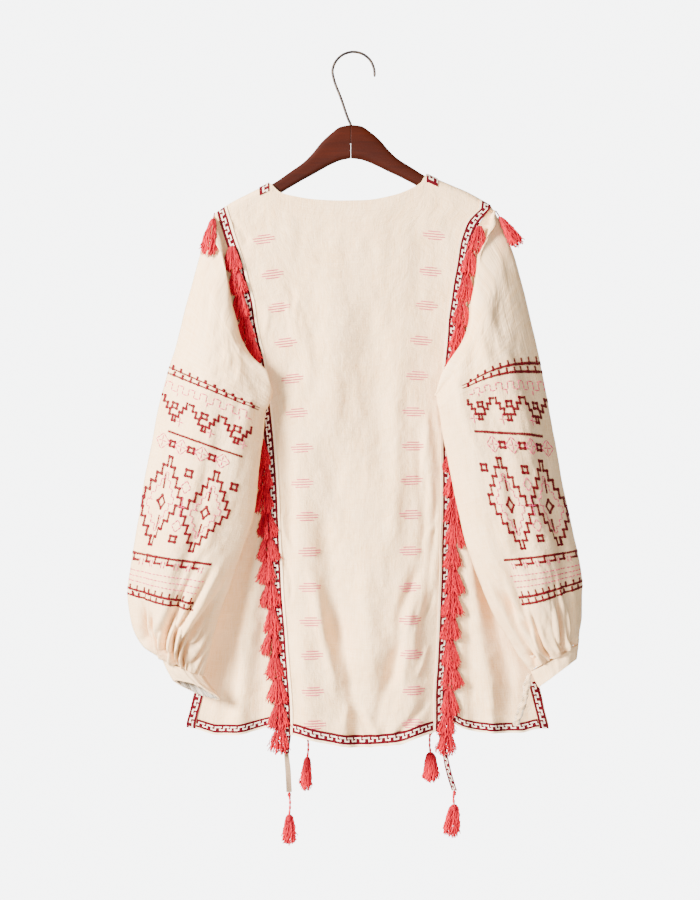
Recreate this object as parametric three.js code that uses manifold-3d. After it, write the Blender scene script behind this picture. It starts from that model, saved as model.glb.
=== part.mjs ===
// Embroidered tunic on a wooden hanger, millimetres, +Z up.
// The garment's back faces -Y. The origin is the inside top of the hook.
import * as THREE from "three";
import { mergeVertices } from "three/addons/utils/BufferGeometryUtils.js";
import Module from "manifold-3d";

const wasm = await Module();
wasm.setup();

// Walls and gaps
const CLOTH = 1.2;
const CUFF_WALL = 2.4;
const SEAM_GAP = 0.3;
const RIBBON_WIDTH = 14;
const RIBBON_WALL = 1;
const HEM_RIBBON = 9;
const VENT_RIBBON = 9;

// Hanger: two arms that meet in the middle, and a wire hook
const ARM_THICK = 10.6;
const ARM_EDGE = 4.5;
const ARM_TILT = 0.0384;
const ARM_CENTRE = { x: -3, z: -93 };
const ARM_REACH = 162;
const HOOK_WIRE = 3.5;
const HOOK_HOLE = 4.3;
const HOOK_DEPTH = 24;

// Body
const SHOULDER_RADIUS = 9.5;
const SHOULDER_REST = 3.3;
const UNDERARM = 0.333;
const EDGE_DEPTH = { shoulder: 9.5, underarm: 10.5, hem: 14 };
const MIDDLE_DEPTH = { back: 17, front: 7 };
const FRONT_SEAM_SHIFT = { left: 28, right: -17 };
const FRONT_NECK_DROP = 105;
const VENT_SPREAD = 6;

// Tassels
const TASSEL_LENGTH = 30;
const TASSEL_HEAD = 7;
const TASSEL_SPLAY = { open: 6, tucked: 3 };
const STRIP_LIFT = RIBBON_WALL + 2 * SEAM_GAP;

// Drop of the hanger's top and bottom line below its middle, by distance from the middle
const armLine = named(["off", "top", "bottom"], [
  [0, 0, 43.7],
  [13, 2, 46],
  [26, 10.7, 51],
  [39, 22.5, 57.5],
  [49.4, 35.1, 63],
  [60.5, 46, 68.5],
  [78, 57.9, 78],
  [98.8, 71.5, 89.5],
  [130, 86.5, 103.5],
  [154, 97.8, 112.5],
  [162, 102.5, 111],
  [181, 114, 121],
]);

// The long seams from the shoulder tips to the hem
const seamLine = named(["z", "left", "right"], [
  [-203, -177, 178],
  [-225, -171, 160],
  [-250, -163, 150.5],
  [-275, -154.5, 146.5],
  [-300, -148.5, 142],
  [-325, -141.5, 138.5],
  [-350, -138, 135],
  [-375, -133, 133.5],
  [-400, -127, 131],
  [-433, -122, 129],
  [-470, -117.5, 127.5],
  [-505, -114, 127],
  [-580, -109, 127],
  [-633, -107, 125.5],
  [-685, -104, 124.5],
  [-737, -100, 123],
  [-789, -96, 120.5],
  [-841, -92, 118],
  [-886, -91, 118],
]);

// The side lines of the gores
const sideLine = named(["z", "left", "right"], [
  [-433, -130, 137],
  [-581, -159, 174],
  [-711, -179, 202],
  [-782, -191, 228],
  [-878, -216, 255],
]);

const neckBack = named(["x", "z"], [
  [-107, -170],
  [-94, -182],
  [-75, -187],
  [-49, -191],
  [-17, -192.5],
  [14, -192],
  [54, -185],
  [77, -176],
  [88, -169],
  [95, -158],
]);

const hemLine = named(["x", "z"], [
  [-217, -875],
  [-205, -877],
  [-192, -881],
  [-176, -885],
  [-153, -884],
  [-127, -879],
  [-101, -873],
  [-91, -884],
  [-75, -884],
  [-43, -892],
  [6, -899],
  [55, -895],
  [81, -886],
  [105, -879],
  [118, -873],
  [126, -868],
  [143, -876],
  [165, -881],
  [198, -882],
  [217, -882],
  [242, -877],
  [256, -877],
]);

// Folds of the body: a line, half width, height (towards the outside) and the layer
const bodyFolds = named(["layer", "x0", "z0", "x1", "z1", "half", "height"], [
  ["back", -30, -470, -6, -720, 26, -4],
  ["back", 6, -780, 20, -900, 18, -4],
  ["back", -60, -700, -66, -900, 20, 4],
  ["back", 66, -640, 78, -900, 18, 4],
  ["back", 98, -440, 104, -660, 7, 2.5],
  ["back", 86, -470, 90, -640, 6, -2],
  ["back", -66, -300, -58, -420, 9, 2],
  ["back", -112, -600, -150, -900, 13, 5],
  ["back", -104, -640, -122, -900, 9, -3],
  ["back", -176, -760, -184, -900, 9, 2],
  ["back", 148, -600, 182, -900, 13, 5],
  ["back", 138, -640, 158, -900, 8, -3],
  ["back", 208, -720, 220, -900, 10, 3],
  ["front", -30, -500, -40, -900, 24, 4],
  ["front", 40, -480, 52, -900, 24, -3],
  ["front", -120, -620, -140, -900, 12, 3],
  ["front", 150, -620, 176, -900, 12, 3],
]);

// Rings of each sleeve from the crest of the armhole fold to the cuff:
// outer and inner edge, depth of their middle, half depths, swing of the fold, gathers
const ringColumns = [
  "outX", "outZ", "inX", "inZ", "outY", "inY", "back", "front", "bow", "pleat",
];
const sleeveRings = {
  left: named(ringColumns, [
    [-203, -279, -103, -439, -4, -28, 27, 9, 10, 0],
    [-216, -327, -105, -451, -6, -30, 29, 11, 6, 0],
    [-229, -379, -108, -459, -8, -31, 31, 13, 3, 0],
    [-240, -414, -113, -467, -9, -32, 33, 14, 0, 0],
    [-251, -457, -117, -507, -11, -33, 36, 15, 0, 0],
    [-260, -503, -122, -548, -13, -34, 38, 16, 0, 0],
    [-270, -555, -127, -594, -15, -35, 40, 17, 0, 0],
    [-278, -607, -138, -633, -17, -35, 40, 17, 0, 0],
    [-286, -656, -152, -674, -20, -35, 39, 17, 0, 0],
    [-291, -700, -174, -726, -22, -35, 36, 16, 0, 1],
    [-286, -737, -183, -752, -25, -35, 30, 15, 0, 2.5],
    [-270, -769, -190, -778, -28, -34, 24, 13, 0, 3.5],
    [-246, -784, -192, -806, -31, -34, 17, 11, 0, 3],
  ]),
  right: named(ringColumns, [
    [204, -249, 105, -448, -4, -28, 27, 9, 11, 0],
    [217, -292, 106, -452, -6, -30, 29, 11, 8, 0],
    [230, -344, 107, -456, -8, -31, 31, 13, 5, 0],
    [244, -407, 109, -463, -9, -32, 33, 14, 2, 0],
    [255, -464, 114, -494, -11, -33, 36, 15, 0, 0],
    [264, -516, 124, -540, -13, -34, 38, 16, 0, 0],
    [273, -568, 134, -588, -15, -35, 40, 17, 0, 0],
    [283, -613, 146, -639, -17, -35, 40, 17, 0, 0],
    [291, -652, 161, -682, -20, -35, 39, 17, 0, 0],
    [296, -691, 182, -730, -22, -35, 36, 16, 0, 1],
    [295, -726, 202, -763, -25, -35, 30, 15, 0, 2.5],
    [291, -752, 217, -787, -28, -34, 24, 13, 0, 3.5],
    [290, -764, 228, -799, -31, -34, 17, 11, 0, 3],
  ]),
};

// Crest of the fold that hangs over each armhole seam
const crestLine = {
  left: named(["x", "z"], [
    [-190, -236],
    [-168, -258],
    [-159, -321],
    [-152, -347],
    [-146, -373],
    [-138, -386],
    [-126, -399],
    [-110, -414],
    [-104, -438],
  ]),
  right: named(["x", "z"], [
    [191, -219],
    [181, -232],
    [162, -271],
    [160, -297],
    [153, -327],
    [151, -350],
    [146, -373],
    [136, -386],
    [126, -399],
    [114, -420],
    [105, -447],
  ]),
};

// Cuffs: the same columns as the rings, with the tilt of the open end
const cuffRings = {
  left: named([...ringColumns, "tilt"], [
    [-245.5, -786, -190.5, -808, -31, -34, 16, 12, 0, 0, 0],
    [-239, -799, -181, -821, -33, -35, 16, 13, 0, 0, 4],
    [-231, -812, -170, -835, -34, -36, 16, 13, 0, 0, 8],
  ]),
  right: named([...ringColumns, "tilt"], [
    [290.2, -766, 228.6, -801, -31, -34, 16, 12, 0, 0, 0],
    [289, -774, 233, -810, -33, -35, 16, 13, 0, 0, 1],
    [287, -784, 238, -820, -34, -36, 16, 13, 0, 0, 2],
  ]),
};

// Heights of the tassels of each trim along its seam
const TASSEL_PITCH = 31;
const tasselRuns = [
  {
    side: "left", layer: "back", from: -500, to: -872, off: 3,
    upper: named(["z", "out"], [[-256, -4.6], [-287, -2], [-319, -1.5], [-351, -4]]),
  },
  {
    side: "right", layer: "back", from: -512, to: -872, off: 3.8,
    upper: named(["z", "out"], [[-222, -2.5], [-256, 0], [-290, 0], [-324, -2]]),
  },
  {
    side: "left", layer: "front", from: -470, to: -868, off: 3.3,
    upper: named(["z", "out"], [[-219, -2], [-250, -2], [-281, -2], [-312, -2], [-344, -2]]),
  },
  {
    side: "right", layer: "front", from: -470, to: -868, off: 3.3,
    upper: named(["z", "out"], [[-219, -2], [-250, -2], [-281, -2], [-312, -2], [-344, -2]]),
  },
];

// Ribbon tails below the back hem, and the part of the seam ribbon that they hang from
const TAIL_Y = -15.4;
const tailLine = {
  left: named(["x", "z", "wide"], [
    [-86, -906, 6],
    [-84, -932, 7],
    [-82.5, -958, 7],
  ]),
  right: named(["x", "z", "wide"], [
    [118, -904, 6],
    [122, -925, 7],
    [127, -943, 7],
    [131, -956, 7],
  ]),
};
const TAIL_SHARE = { left: [0.15, 0.85], right: [0.2, 0.65] };

// End tassels: the back ones hang from the tails, the front ones from the seam ribbons
const endTassels = [
  { side: "left", layer: "back", cord: 30, long: 37 },
  { side: "right", layer: "back", cord: 18, long: 42 },
  { side: "left", layer: "front", cord: 22, long: 40 },
  { side: "right", layer: "front", cord: 20, long: 36 },
];

const colours = {
  cloth: { color: 0xeee5d7, roughness: 0.92 },
  ribbon: { color: 0x8f2630, roughness: 0.85 },
  tassel: { color: 0xe0474d, roughness: 0.9 },
  wood: { color: 0x7a3513, roughness: 0.42 },
  wire: { color: 0x3d332d, roughness: 0.4, metalness: 0.85 },
};

function named(columns, rows) {
  return rows.map((row) => Object.fromEntries(columns.map((name, i) => [name, row[i]])));
}

function clamp(value, low = 0, high = 1) {
  return Math.min(high, Math.max(low, value));
}

function lerp(a, b, t) {
  return a + (b - a) * t;
}

function ease(t) {
  const s = clamp(t);
  return s * s * (3 - 2 * s);
}

// A value read along a table, with straight pieces between its rows
function read(table, key, at, value) {
  const falling = table[0][key] > table[table.length - 1][key];
  const rows = falling ? [...table].reverse() : table;
  const high = rows.findIndex((row) => row[key] > at);
  if (high === 0) return rows[0][value];
  if (high < 0) return rows[rows.length - 1][value];
  const a = rows[high - 1];
  const b = rows[high];
  return lerp(a[value], b[value], (at - a[key]) / (b[key] - a[key]));
}

function armTop(x) {
  const off = x - ARM_CENTRE.x;
  return ARM_CENTRE.z - read(armLine, "off", Math.abs(off), "top") + ARM_TILT * off;
}

function armBottom(x) {
  const off = x - ARM_CENTRE.x;
  return ARM_CENTRE.z - read(armLine, "off", Math.abs(off), "bottom") + ARM_TILT * off;
}

// The outside of the cloth where it goes over the hanger
function ridge(x) {
  return armTop(x) + SHOULDER_REST;
}

function seamX(side, layer, z) {
  const shift = layer === "front" ? FRONT_SEAM_SHIFT[side] * ease((-433 - z) / 440) : 0;
  return read(seamLine, "z", z, side) + shift;
}

// Across the slope of the seam the ribbon keeps its width
function ribbonReach(side, z) {
  const slope = (seamX(side, "back", z + 12) - seamX(side, "back", z - 12)) / 24;
  return RIBBON_WIDTH * Math.hypot(1, slope);
}

function hemZ(x) {
  return read(hemLine, "x", x, "z");
}

function neckZ(layer, x) {
  if (layer === "back") return read(neckBack, "x", x, "z");
  const across = clamp(Math.abs(x + 6) / 101);
  const line = lerp(-170, -158, (x + 107) / 202);
  return line - FRONT_NECK_DROP * (1 - across * across);
}

function topZ(layer, x) {
  const inNeck = x > -107 && x < 95;
  return inNeck ? Math.min(ridge(x), neckZ(layer, x)) : ridge(x);
}

function foldHeight(layer, x, z) {
  let sum = 0;
  for (const fold of bodyFolds) {
    if (fold.layer !== layer) continue;
    const t = (z - fold.z0) / (fold.z1 - fold.z0);
    const middle = lerp(fold.x0, fold.x1, clamp(t));
    const fade = ease(t * 2.5) * ease((1.3 - t) * 3);
    sum += fold.height * fade * Math.exp(-(((x - middle) / fold.half) ** 2));
  }
  return sum;
}

function shoulderRound(x, z) {
  const drop = clamp((ridge(x) - z) / SHOULDER_RADIUS);
  return Math.sqrt(clamp(1 - (1 - drop) ** 2, 0.0003));
}

function edgeDepth(z) {
  const upper = lerp(EDGE_DEPTH.shoulder, EDGE_DEPTH.underarm, clamp((-205 - z) / 228));
  return lerp(upper, EDGE_DEPTH.hem, ease((-433 - z) / 440));
}

// How far a panel stands from the middle plane between its two seams
function panelDepth(layer, x, z) {
  const left = seamX("left", layer, z);
  const right = seamX("right", layer, z);
  const across = clamp(((x - left) / (right - left)) * 2 - 1, -1, 1);
  const middle = MIDDLE_DEPTH[layer] * ease((-190 - z) / 600) * (1 - across * across);
  const folds = foldHeight(layer, x, z) * ease((1 - Math.abs(across)) * 6);
  return (edgeDepth(z) + middle + folds) * shoulderRound(x, z);
}

// A gore thins from the seam to its side line, and opens at the vent
function goreDepth(side, layer, x, z) {
  const seam = seamX(side, layer, z);
  const edge = read(sideLine, "z", z, side);
  const share = clamp((x - edge) / (seam - edge));
  const open = VENT_SPREAD * ease((-822 - z) / 50);
  const base = Math.max(0.15, open, edgeDepth(z) * Math.pow(Math.sin((share * Math.PI) / 2), 0.8));
  return base + foldHeight(layer, x, z) * Math.sin(share * Math.PI) ** 2;
}

function facing(layer) {
  return layer === "back" ? -1 : 1;
}

// Directions square to a grid of points, on the side that `sign` picks
function squareTo(points, sign, around) {
  return points.map((row, i) => row.map((unused, j) => {
    const last = row.length - 1;
    const before = around ? row[(j + last) % row.length] : row[Math.max(0, j - 1)];
    const after = around ? row[(j + 1) % row.length] : row[Math.min(last, j + 1)];
    const above = points[Math.max(0, i - 1)][j];
    const below = points[Math.min(points.length - 1, i + 1)][j];
    const across = after.clone().sub(before);
    const down = below.clone().sub(above);
    return across.cross(down).normalize().multiplyScalar(sign);
  }));
}

// A closed wall under a grid of outside points
function wall(points, dirs, thick, around = false) {
  const rows = points.length;
  const cols = points[0].length;
  const vertices = [];
  points.forEach((row) => row.forEach((p) => vertices.push(p)));
  points.forEach((row, i) => row.forEach((p, j) => {
    vertices.push(p.clone().addScaledVector(dirs[i][j], -thick));
  }));
  const inner = rows * cols;
  const faces = [];
  const quad = (a, b, c, d) => faces.push(a, b, c, a, c, d);
  const at = (i, j) => i * cols + (j % cols);
  const spans = around ? cols : cols - 1;
  for (let i = 0; i < rows - 1; i++) {
    for (let j = 0; j < spans; j++) {
      const [a, b, c, d] = [at(i, j), at(i, j + 1), at(i + 1, j + 1), at(i + 1, j)];
      quad(a, b, c, d);
      faces.push(inner + a, inner + c, inner + b, inner + a, inner + d, inner + c);
    }
  }
  for (let j = 0; j < spans; j++) {
    quad(at(0, j), inner + at(0, j), inner + at(0, j + 1), at(0, j + 1));
    const low = rows - 1;
    quad(at(low, j + 1), inner + at(low, j + 1), inner + at(low, j), at(low, j));
  }
  if (!around) {
    for (let i = 0; i < rows - 1; i++) {
      const high = cols - 1;
      quad(at(i + 1, 0), inner + at(i + 1, 0), inner + at(i, 0), at(i, 0));
      quad(at(i, high), inner + at(i, high), inner + at(i + 1, high), at(i + 1, high));
    }
  }
  return closedFrom(vertices, faces);
}

// Faces turned outwards
function closedFrom(vertices, faces) {
  let volume = 0;
  for (let i = 0; i < faces.length; i += 3) {
    const [a, b, c] = [vertices[faces[i]], vertices[faces[i + 1]], vertices[faces[i + 2]]];
    volume += a.dot(b.clone().cross(c));
  }
  if (volume < 0) faces.reverse();
  const geometry = new THREE.BufferGeometry();
  const flat = new Float32Array(vertices.flatMap((p) => [p.x, p.y, p.z]));
  geometry.setAttribute("position", new THREE.BufferAttribute(flat, 3));
  geometry.setIndex(faces);
  return geometry;
}

// A band that lies on part of a grid, moved out by `lift`
function band(grid, rowsUsed, colsUsed, lift, thick) {
  const points = [];
  const dirs = [];
  const mix = (list, at) => {
    const low = clamp(Math.floor(at), 0, list.length - 2);
    return list[low].clone().lerp(list[low + 1], at - low);
  };
  for (const i of rowsUsed) {
    const low = Math.min(Math.floor(i), grid.points.length - 2);
    const rowPoints = [];
    const rowDirs = [];
    for (const j of Array.isArray(colsUsed) ? colsUsed : colsUsed(i)) {
      const dir = mix(grid.dirs[low], j).lerp(mix(grid.dirs[low + 1], j), i - low).normalize();
      const point = mix(grid.points[low], j).lerp(mix(grid.points[low + 1], j), i - low);
      rowPoints.push(point.addScaledVector(dir, lift + thick));
      rowDirs.push(dir);
    }
    points.push(rowPoints);
    dirs.push(rowDirs);
  }
  return wall(points, dirs, thick);
}

function steps(from, to) {
  return Array.from({ length: to - from + 1 }, (unused, i) => from + i);
}

// Rows of a panel: over the hanger, down to the underarm, then down to the hem
const overHanger = [0.0001, 0.134, 0.5, 1].map((share) => share * SHOULDER_RADIUS);
const armholeRows = steps(1, 9).map((i) => (UNDERARM * i) / 9);
const skirtRows = {
  back: [0.385, 0.437, 0.49, 0.542, 0.594, 0.646, 0.698, 0.75, 0.802, 0.854, 0.906, 0.95, 1],
  front: [0.4, 0.48, 0.56, 0.64, 0.72, 0.8, 0.87, 0.93, 1],
};
const UNDERARM_ROW = overHanger.length + armholeRows.length - 1;

// Columns between the two seam ribbons, with one at each neck point
const betweenRibbons = [
  0, 0.085, 0.17, 0.178, 0.26, 0.37, 0.48, 0.6, 0.7, 0.788, 0.796, 0.9, 1,
];
const LAST_COLUMN = betweenRibbons.length + 1;
const NECK_COLUMNS = steps(3, 11);

function columnX(layer, column, z) {
  const left = seamX("left", layer, z);
  const right = seamX("right", layer, z);
  if (column === 0) return left;
  if (column === LAST_COLUMN) return right;
  const share = betweenRibbons[column - 1];
  return lerp(left + ribbonReach("left", z), right - ribbonReach("right", z), share);
}

function panelGrid(layer) {
  const sign = facing(layer);
  const tops = [];
  const hems = [];
  for (let j = 0; j <= LAST_COLUMN; j++) {
    let top = -190;
    let hem = -885;
    for (let turn = 0; turn < 12; turn++) {
      top = lerp(top, topZ(layer, columnX(layer, j, top)), 0.7);
      hem = hemZ(columnX(layer, j, hem) * 0.96);
    }
    tops.push(top);
    hems.push(hem);
  }
  const shares = [...armholeRows, ...skirtRows[layer]];
  const points = [];
  const pointAt = (j, z) => {
    const x = columnX(layer, j, z);
    return new THREE.Vector3(x, sign * panelDepth(layer, x, z), z);
  };
  for (const drop of overHanger) {
    points.push(tops.map((top, j) => pointAt(j, top - drop)));
  }
  shares.forEach((share, i) => {
    const lifted = i === shares.length - 2 ? 1 : 0;
    points.push(tops.map((top, j) => {
      const start = top - SHOULDER_RADIUS;
      const z = lifted ? hems[j] + HEM_RIBBON : lerp(start, hems[j], share);
      return pointAt(j, z);
    }));
  });
  const dirs = squareTo(points, sign, false);
  dirs[0].forEach((dir, j) => {
    if (Math.abs(points[0][j].y) < 1) dir.setY(0).normalize();
  });
  // along the seams the wall leans out, half way to the piece sewn there
  dirs.forEach((row) => {
    row[0].x -= 0.4;
    row[0].normalize();
    row[LAST_COLUMN].x += 0.4;
    row[LAST_COLUMN].normalize();
  });
  return { points, dirs };
}

const panels = { back: panelGrid("back"), front: panelGrid("front") };

function seamPoint(side, layer, row) {
  const grid = panels[layer];
  const column = side === "left" ? 0 : LAST_COLUMN;
  const dir = grid.dirs[row][column].clone();
  const out = new THREE.Vector3(side === "left" ? -1 : 1, 0, 0);
  out.addScaledVector(dir, -out.dot(dir)).normalize();
  const point = grid.points[row][column].clone().addScaledVector(out, SEAM_GAP);
  return { point, dir };
}

// Shares of the width from the seam to the vent ribbon
const goreShares = [0, 0.3, 0.65, 1];

function goreGrid(side, layer) {
  const sign = facing(layer);
  const lastRow = panels[layer].points.length - 1;
  const points = [];
  const dirs = [];
  const outX = side === "left" ? -1 : 1;
  for (let i = UNDERARM_ROW; i <= lastRow; i++) {
    const seam = seamPoint(side, layer, i);
    const start = seam.point.z;
    const lowest = panels[layer].points[lastRow][side === "left" ? 0 : LAST_COLUMN].z;
    const highest = seamPoint(side, layer, UNDERARM_ROW).point.z;
    const down = (highest - start) / (highest - lowest);
    const row = [seam.point];
    const edge = read(sideLine, "z", start, side);
    const ribbon = Math.min(VENT_RIBBON, Math.abs(edge - seam.point.x) * 0.3);
    for (const share of [...goreShares.slice(1), "edge"]) {
      const rim = edge - outX * ribbon;
      const x = share === "edge" ? edge : lerp(seam.point.x, rim, share);
      const z = start + (hemZ(x) - lowest) * down * down - SEAM_GAP * (1 - down);
      row.push(new THREE.Vector3(x, sign * goreDepth(side, layer, x, z), z));
    }
    if (i === UNDERARM_ROW) row[0] = row[0].clone().setZ(start - SEAM_GAP);
    points.push(row);
    dirs.push([seam.dir]);
  }
  const turned = side === "left" ? -sign : sign;
  const square = squareTo(points, turned, false);
  square.forEach((row, i) => {
    row.forEach((dir, j) => {
      if (j === 0) return;
      const last = j === row.length - 1;
      const shut = 1 - ease((-822 - points[i][j].z) / 40);
      if (last) dir.lerp(new THREE.Vector3(outX, 0, 0), shut).normalize();
      dirs[i].push(dir);
    });
  });
  return { points, dirs };
}

// The armhole: down the back seam, past the gores, up the front seam
function armholeRing(side) {
  const ring = [];
  const outX = side === "left" ? -1 : 1;
  const topBack = seamPoint(side, "back", 0).point;
  const topFront = seamPoint(side, "front", 0).point;
  const top = topBack.clone().lerp(topFront, 0.5);
  ring.push({ point: top, dir: new THREE.Vector3(0.3 * outX, 0, 1).normalize() });
  for (let row = 1; row <= UNDERARM_ROW; row++) ring.push(seamPoint(side, "back", row));
  const edge = read(sideLine, "z", -434, side);
  const low = ring[ring.length - 1].point.z;
  ring.push({
    point: new THREE.Vector3(edge, 0, low),
    dir: new THREE.Vector3(0.5 * outX, 0, -0.85).normalize(),
  });
  for (let row = UNDERARM_ROW; row >= 1; row--) ring.push(seamPoint(side, "front", row));
  return ring;
}

// A point along a line of x and z, by share of its length
function alongLine(line, share) {
  const lengths = [0];
  for (let i = 1; i < line.length; i++) {
    const step = Math.hypot(line[i].x - line[i - 1].x, line[i].z - line[i - 1].z);
    lengths.push(lengths[i - 1] + step);
  }
  const goal = share * lengths[lengths.length - 1];
  let i = 1;
  while (i < line.length - 1 && lengths[i] < goal) i++;
  const t = (goal - lengths[i - 1]) / (lengths[i] - lengths[i - 1]);
  return { x: lerp(line[i - 1].x, line[i].x, t), z: lerp(line[i - 1].z, line[i].z, t) };
}

function ringPoint(ring, share, onBack, outX) {
  const swell = Math.pow(Math.sin(Math.PI * share), 0.7);
  const bow = ring.bow * 6.75 * share * share * (1 - share);
  const x = lerp(ring.outX, ring.inX, share) + outX * bow;
  const z = lerp(ring.outZ, ring.inZ, share);
  const middle = lerp(ring.outY, ring.inY, share);
  return new THREE.Vector3(x, middle + swell * (onBack ? -ring.back : ring.front), z);
}

function sleeveGrid(side) {
  const armhole = armholeRing(side);
  const outX = side === "left" ? -1 : 1;
  const count = armhole.length;
  const half = count / 2;
  const points = [armhole.map((part) => part.point)];
  const shares = armhole.map((part, c) => {
    const even = c <= half ? c / half : (count - c) / half;
    const drop = (armhole[0].point.z - part.point.z) / (armhole[0].point.z - armhole[half].point.z);
    return { even, drop: clamp(drop) };
  });
  const crest = armhole.map((part, c) => {
    const share = lerp(shares[c].drop, shares[c].even, 0.5);
    const onBack = c > 0 && c < half;
    const line = alongLine(crestLine[side], share);
    const middle = lerp(-2, -27, share);
    const swell = Math.pow(Math.sin(Math.PI * share), 0.6);
    const y = middle + swell * (onBack ? -19 : 4);
    return new THREE.Vector3(line.x + (onBack ? 0 : outX * 5 * swell), y, line.z);
  });
  // the steep side of the fold, with a groove between it and the seam
  const riser = armhole.map((part, c) => {
    const low = shares[c].drop ** 5;
    const onBack = c > 0 && c < half;
    const y = onBack ? part.point.y - 8 : part.point.y * 0.3 - 19 * low;
    const least = 8 + 4 * Math.sin(Math.PI * shares[c].drop) + (onBack ? -3 : 4) * low;
    const foldX = read(crestLine[side], "z", part.point.z, "x");
    const out = Math.max(least, outX * (foldX - part.point.x) - 1.5);
    return new THREE.Vector3(part.point.x + outX * out, y, part.point.z + 5 * low);
  });
  const groove = armhole.map((part, c) => {
    const y = c === half ? -3.5 : part.point.y * 0.72;
    return part.point.clone().lerp(riser[c], 0.6).setY(y);
  });
  points.push(groove, riser, crest);
  for (const ring of sleeveRings[side]) {
    points.push(shares.map(({ even, drop }, c) => {
      const onBack = c > 0 && c < half;
      const share = lerp(even, drop, ring === sleeveRings[side][0] ? 0.3 : 0);
      const p = ringPoint(ring, share, onBack, outX);
      const inward = c % 2 ? ring.pleat : 0;
      p.y += onBack ? inward : -inward;
      return p;
    }));
  }
  const dirs = squareTo(points, outX, true);
  armhole.forEach((part, c) => (dirs[0][c] = part.dir));
  return { points, dirs };
}

function cuffGrid(side) {
  const outX = side === "left" ? -1 : 1;
  const count = 26;
  const half = count / 2;
  const points = cuffRings[side].map((ring) => steps(0, count - 1).map((c) => {
    const share = c <= half ? c / half : (count - c) / half;
    const onBack = c > 0 && c < half;
    const p = ringPoint(ring, share, onBack, outX);
    const middle = lerp(ring.outY, ring.inY, share);
    p.z -= (ring.tilt * (p.y - middle)) / ring.back;
    return p;
  }));
  return { points, dirs: squareTo(points, outX, true) };
}

// A head whose foot parts into locks, `sides` 6 gives three locks and 4 gives two
function tassel(at, sides, long, head, splay, turn, sign) {
  const vertices = [];
  const faces = [];
  const ring = (z, radius) => {
    const first = vertices.length;
    for (let i = 0; i < sides; i++) {
      const angle = turn + (i * 2 * Math.PI) / sides;
      const spot = new THREE.Vector3(Math.cos(angle) * radius, Math.sin(angle) * radius, z);
      vertices.push(spot.add(at));
    }
    return first;
  };
  const top = ring(0, head * 0.3);
  const foot = ring(-head, head * 0.5);
  for (let i = 1; i < sides - 1; i++) faces.push(top, top + i, top + i + 1);
  for (let i = 0; i < sides; i++) {
    const next = (i + 1) % sides;
    faces.push(top + i, foot + i, foot + next, top + i, foot + next, top + next);
  }
  const centre = vertices.length;
  if (sides === 6) vertices.push(at.clone().add(new THREE.Vector3(0, 0, -head)));
  const locks = sides === 6
    ? [[0, 1, 2], [2, 3, 4], [4, 5, 0]].map(([a, b, c]) => [foot + a, foot + b, foot + c, centre])
    : [[foot, foot + 1, foot + 2], [foot + 2, foot + 3, foot]];
  for (const lock of locks) {
    const middle = new THREE.Vector3();
    lock.forEach((v) => middle.addScaledVector(vertices[v], 1 / lock.length));
    const away = middle.clone().sub(at).setZ(0);
    const side = Math.sign(away.x || 1);
    const shift = new THREE.Vector3(away.x * splay * 0.45, sign * 1.2, head - long);
    shift.x += side * 0.2;
    const low = vertices.length;
    lock.forEach((v) => {
      const spread = vertices[v].clone().sub(middle).multiplyScalar(0.25);
      vertices.push(vertices[v].clone().add(shift).add(spread.setZ(0)));
    });
    lock.forEach((v, i) => {
      const next = (i + 1) % lock.length;
      faces.push(v, low + i, low + next, v, low + next, lock[next]);
    });
    for (let i = 1; i < lock.length - 1; i++) faces.push(low, low + i + 1, low + i);
  }
  return closedFrom(vertices, faces);
}

function solid(geometry) {
  const bare = geometry.clone();
  bare.deleteAttribute("normal");
  bare.deleteAttribute("uv");
  const merged = mergeVertices(bare, 1e-3);
  const vertProperties = new Float32Array(merged.attributes.position.array);
  const triVerts = new Uint32Array(merged.index.array);
  return new wasm.Manifold(new wasm.Mesh({ numProp: 3, vertProperties, triVerts }));
}

function geometryOf(body) {
  const mesh = body.getMesh();
  const geometry = new THREE.BufferGeometry();
  const flat = new Float32Array((mesh.vertProperties.length / mesh.numProp) * 3);
  for (let i = 0; i < flat.length / 3; i++) {
    for (let k = 0; k < 3; k++) flat[i * 3 + k] = mesh.vertProperties[i * mesh.numProp + k];
  }
  geometry.setAttribute("position", new THREE.BufferAttribute(flat, 3));
  geometry.setIndex(Array.from(mesh.triVerts));
  return geometry;
}

// A narrow strip on the outer edge of a seam ribbon, with its tassels
function tasselTrim({ side, layer, upper, from, to, off }) {
  const grid = panels[layer];
  const sign = facing(layer);
  const outX = side === "left" ? -1 : 1;
  const last = grid.points.length - 1;
  // wider on the outside below the underarm, where the tassels stand off the seam
  const columns = (row) => {
    const [low, high] = row > UNDERARM_ROW ? [-0.15, 0.2] : [0, 0.25];
    return side === "left" ? [low, high] : [LAST_COLUMN - high, LAST_COLUMN - low];
  };
  let body = solid(band(grid, steps(3, last), columns, STRIP_LIFT, 1));
  const places = upper.map(({ z, out }) => ({ z, out, splay: TASSEL_SPLAY.tucked }));
  for (let z = from; z >= to; z -= TASSEL_PITCH) {
    places.push({ z, out: off, splay: TASSEL_SPLAY.open });
  }
  for (const { z, out, splay } of places) {
    const [sides, turn] = layer === "back" ? [6, 0] : [4, Math.PI / 4];
    const half = (TASSEL_HEAD / 2) * Math.cos(Math.PI / sides);
    const at = onSeam(side, layer, z);
    at.y += sign * (STRIP_LIFT + (splay === TASSEL_SPLAY.open ? 0.26 : 0.1) + half);
    at.x += outX * out;
    const shape = tassel(at, sides, TASSEL_LENGTH, TASSEL_HEAD, splay, turn, sign);
    body = body.add(solid(shape));
  }
  return geometryOf(body);
}

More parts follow.
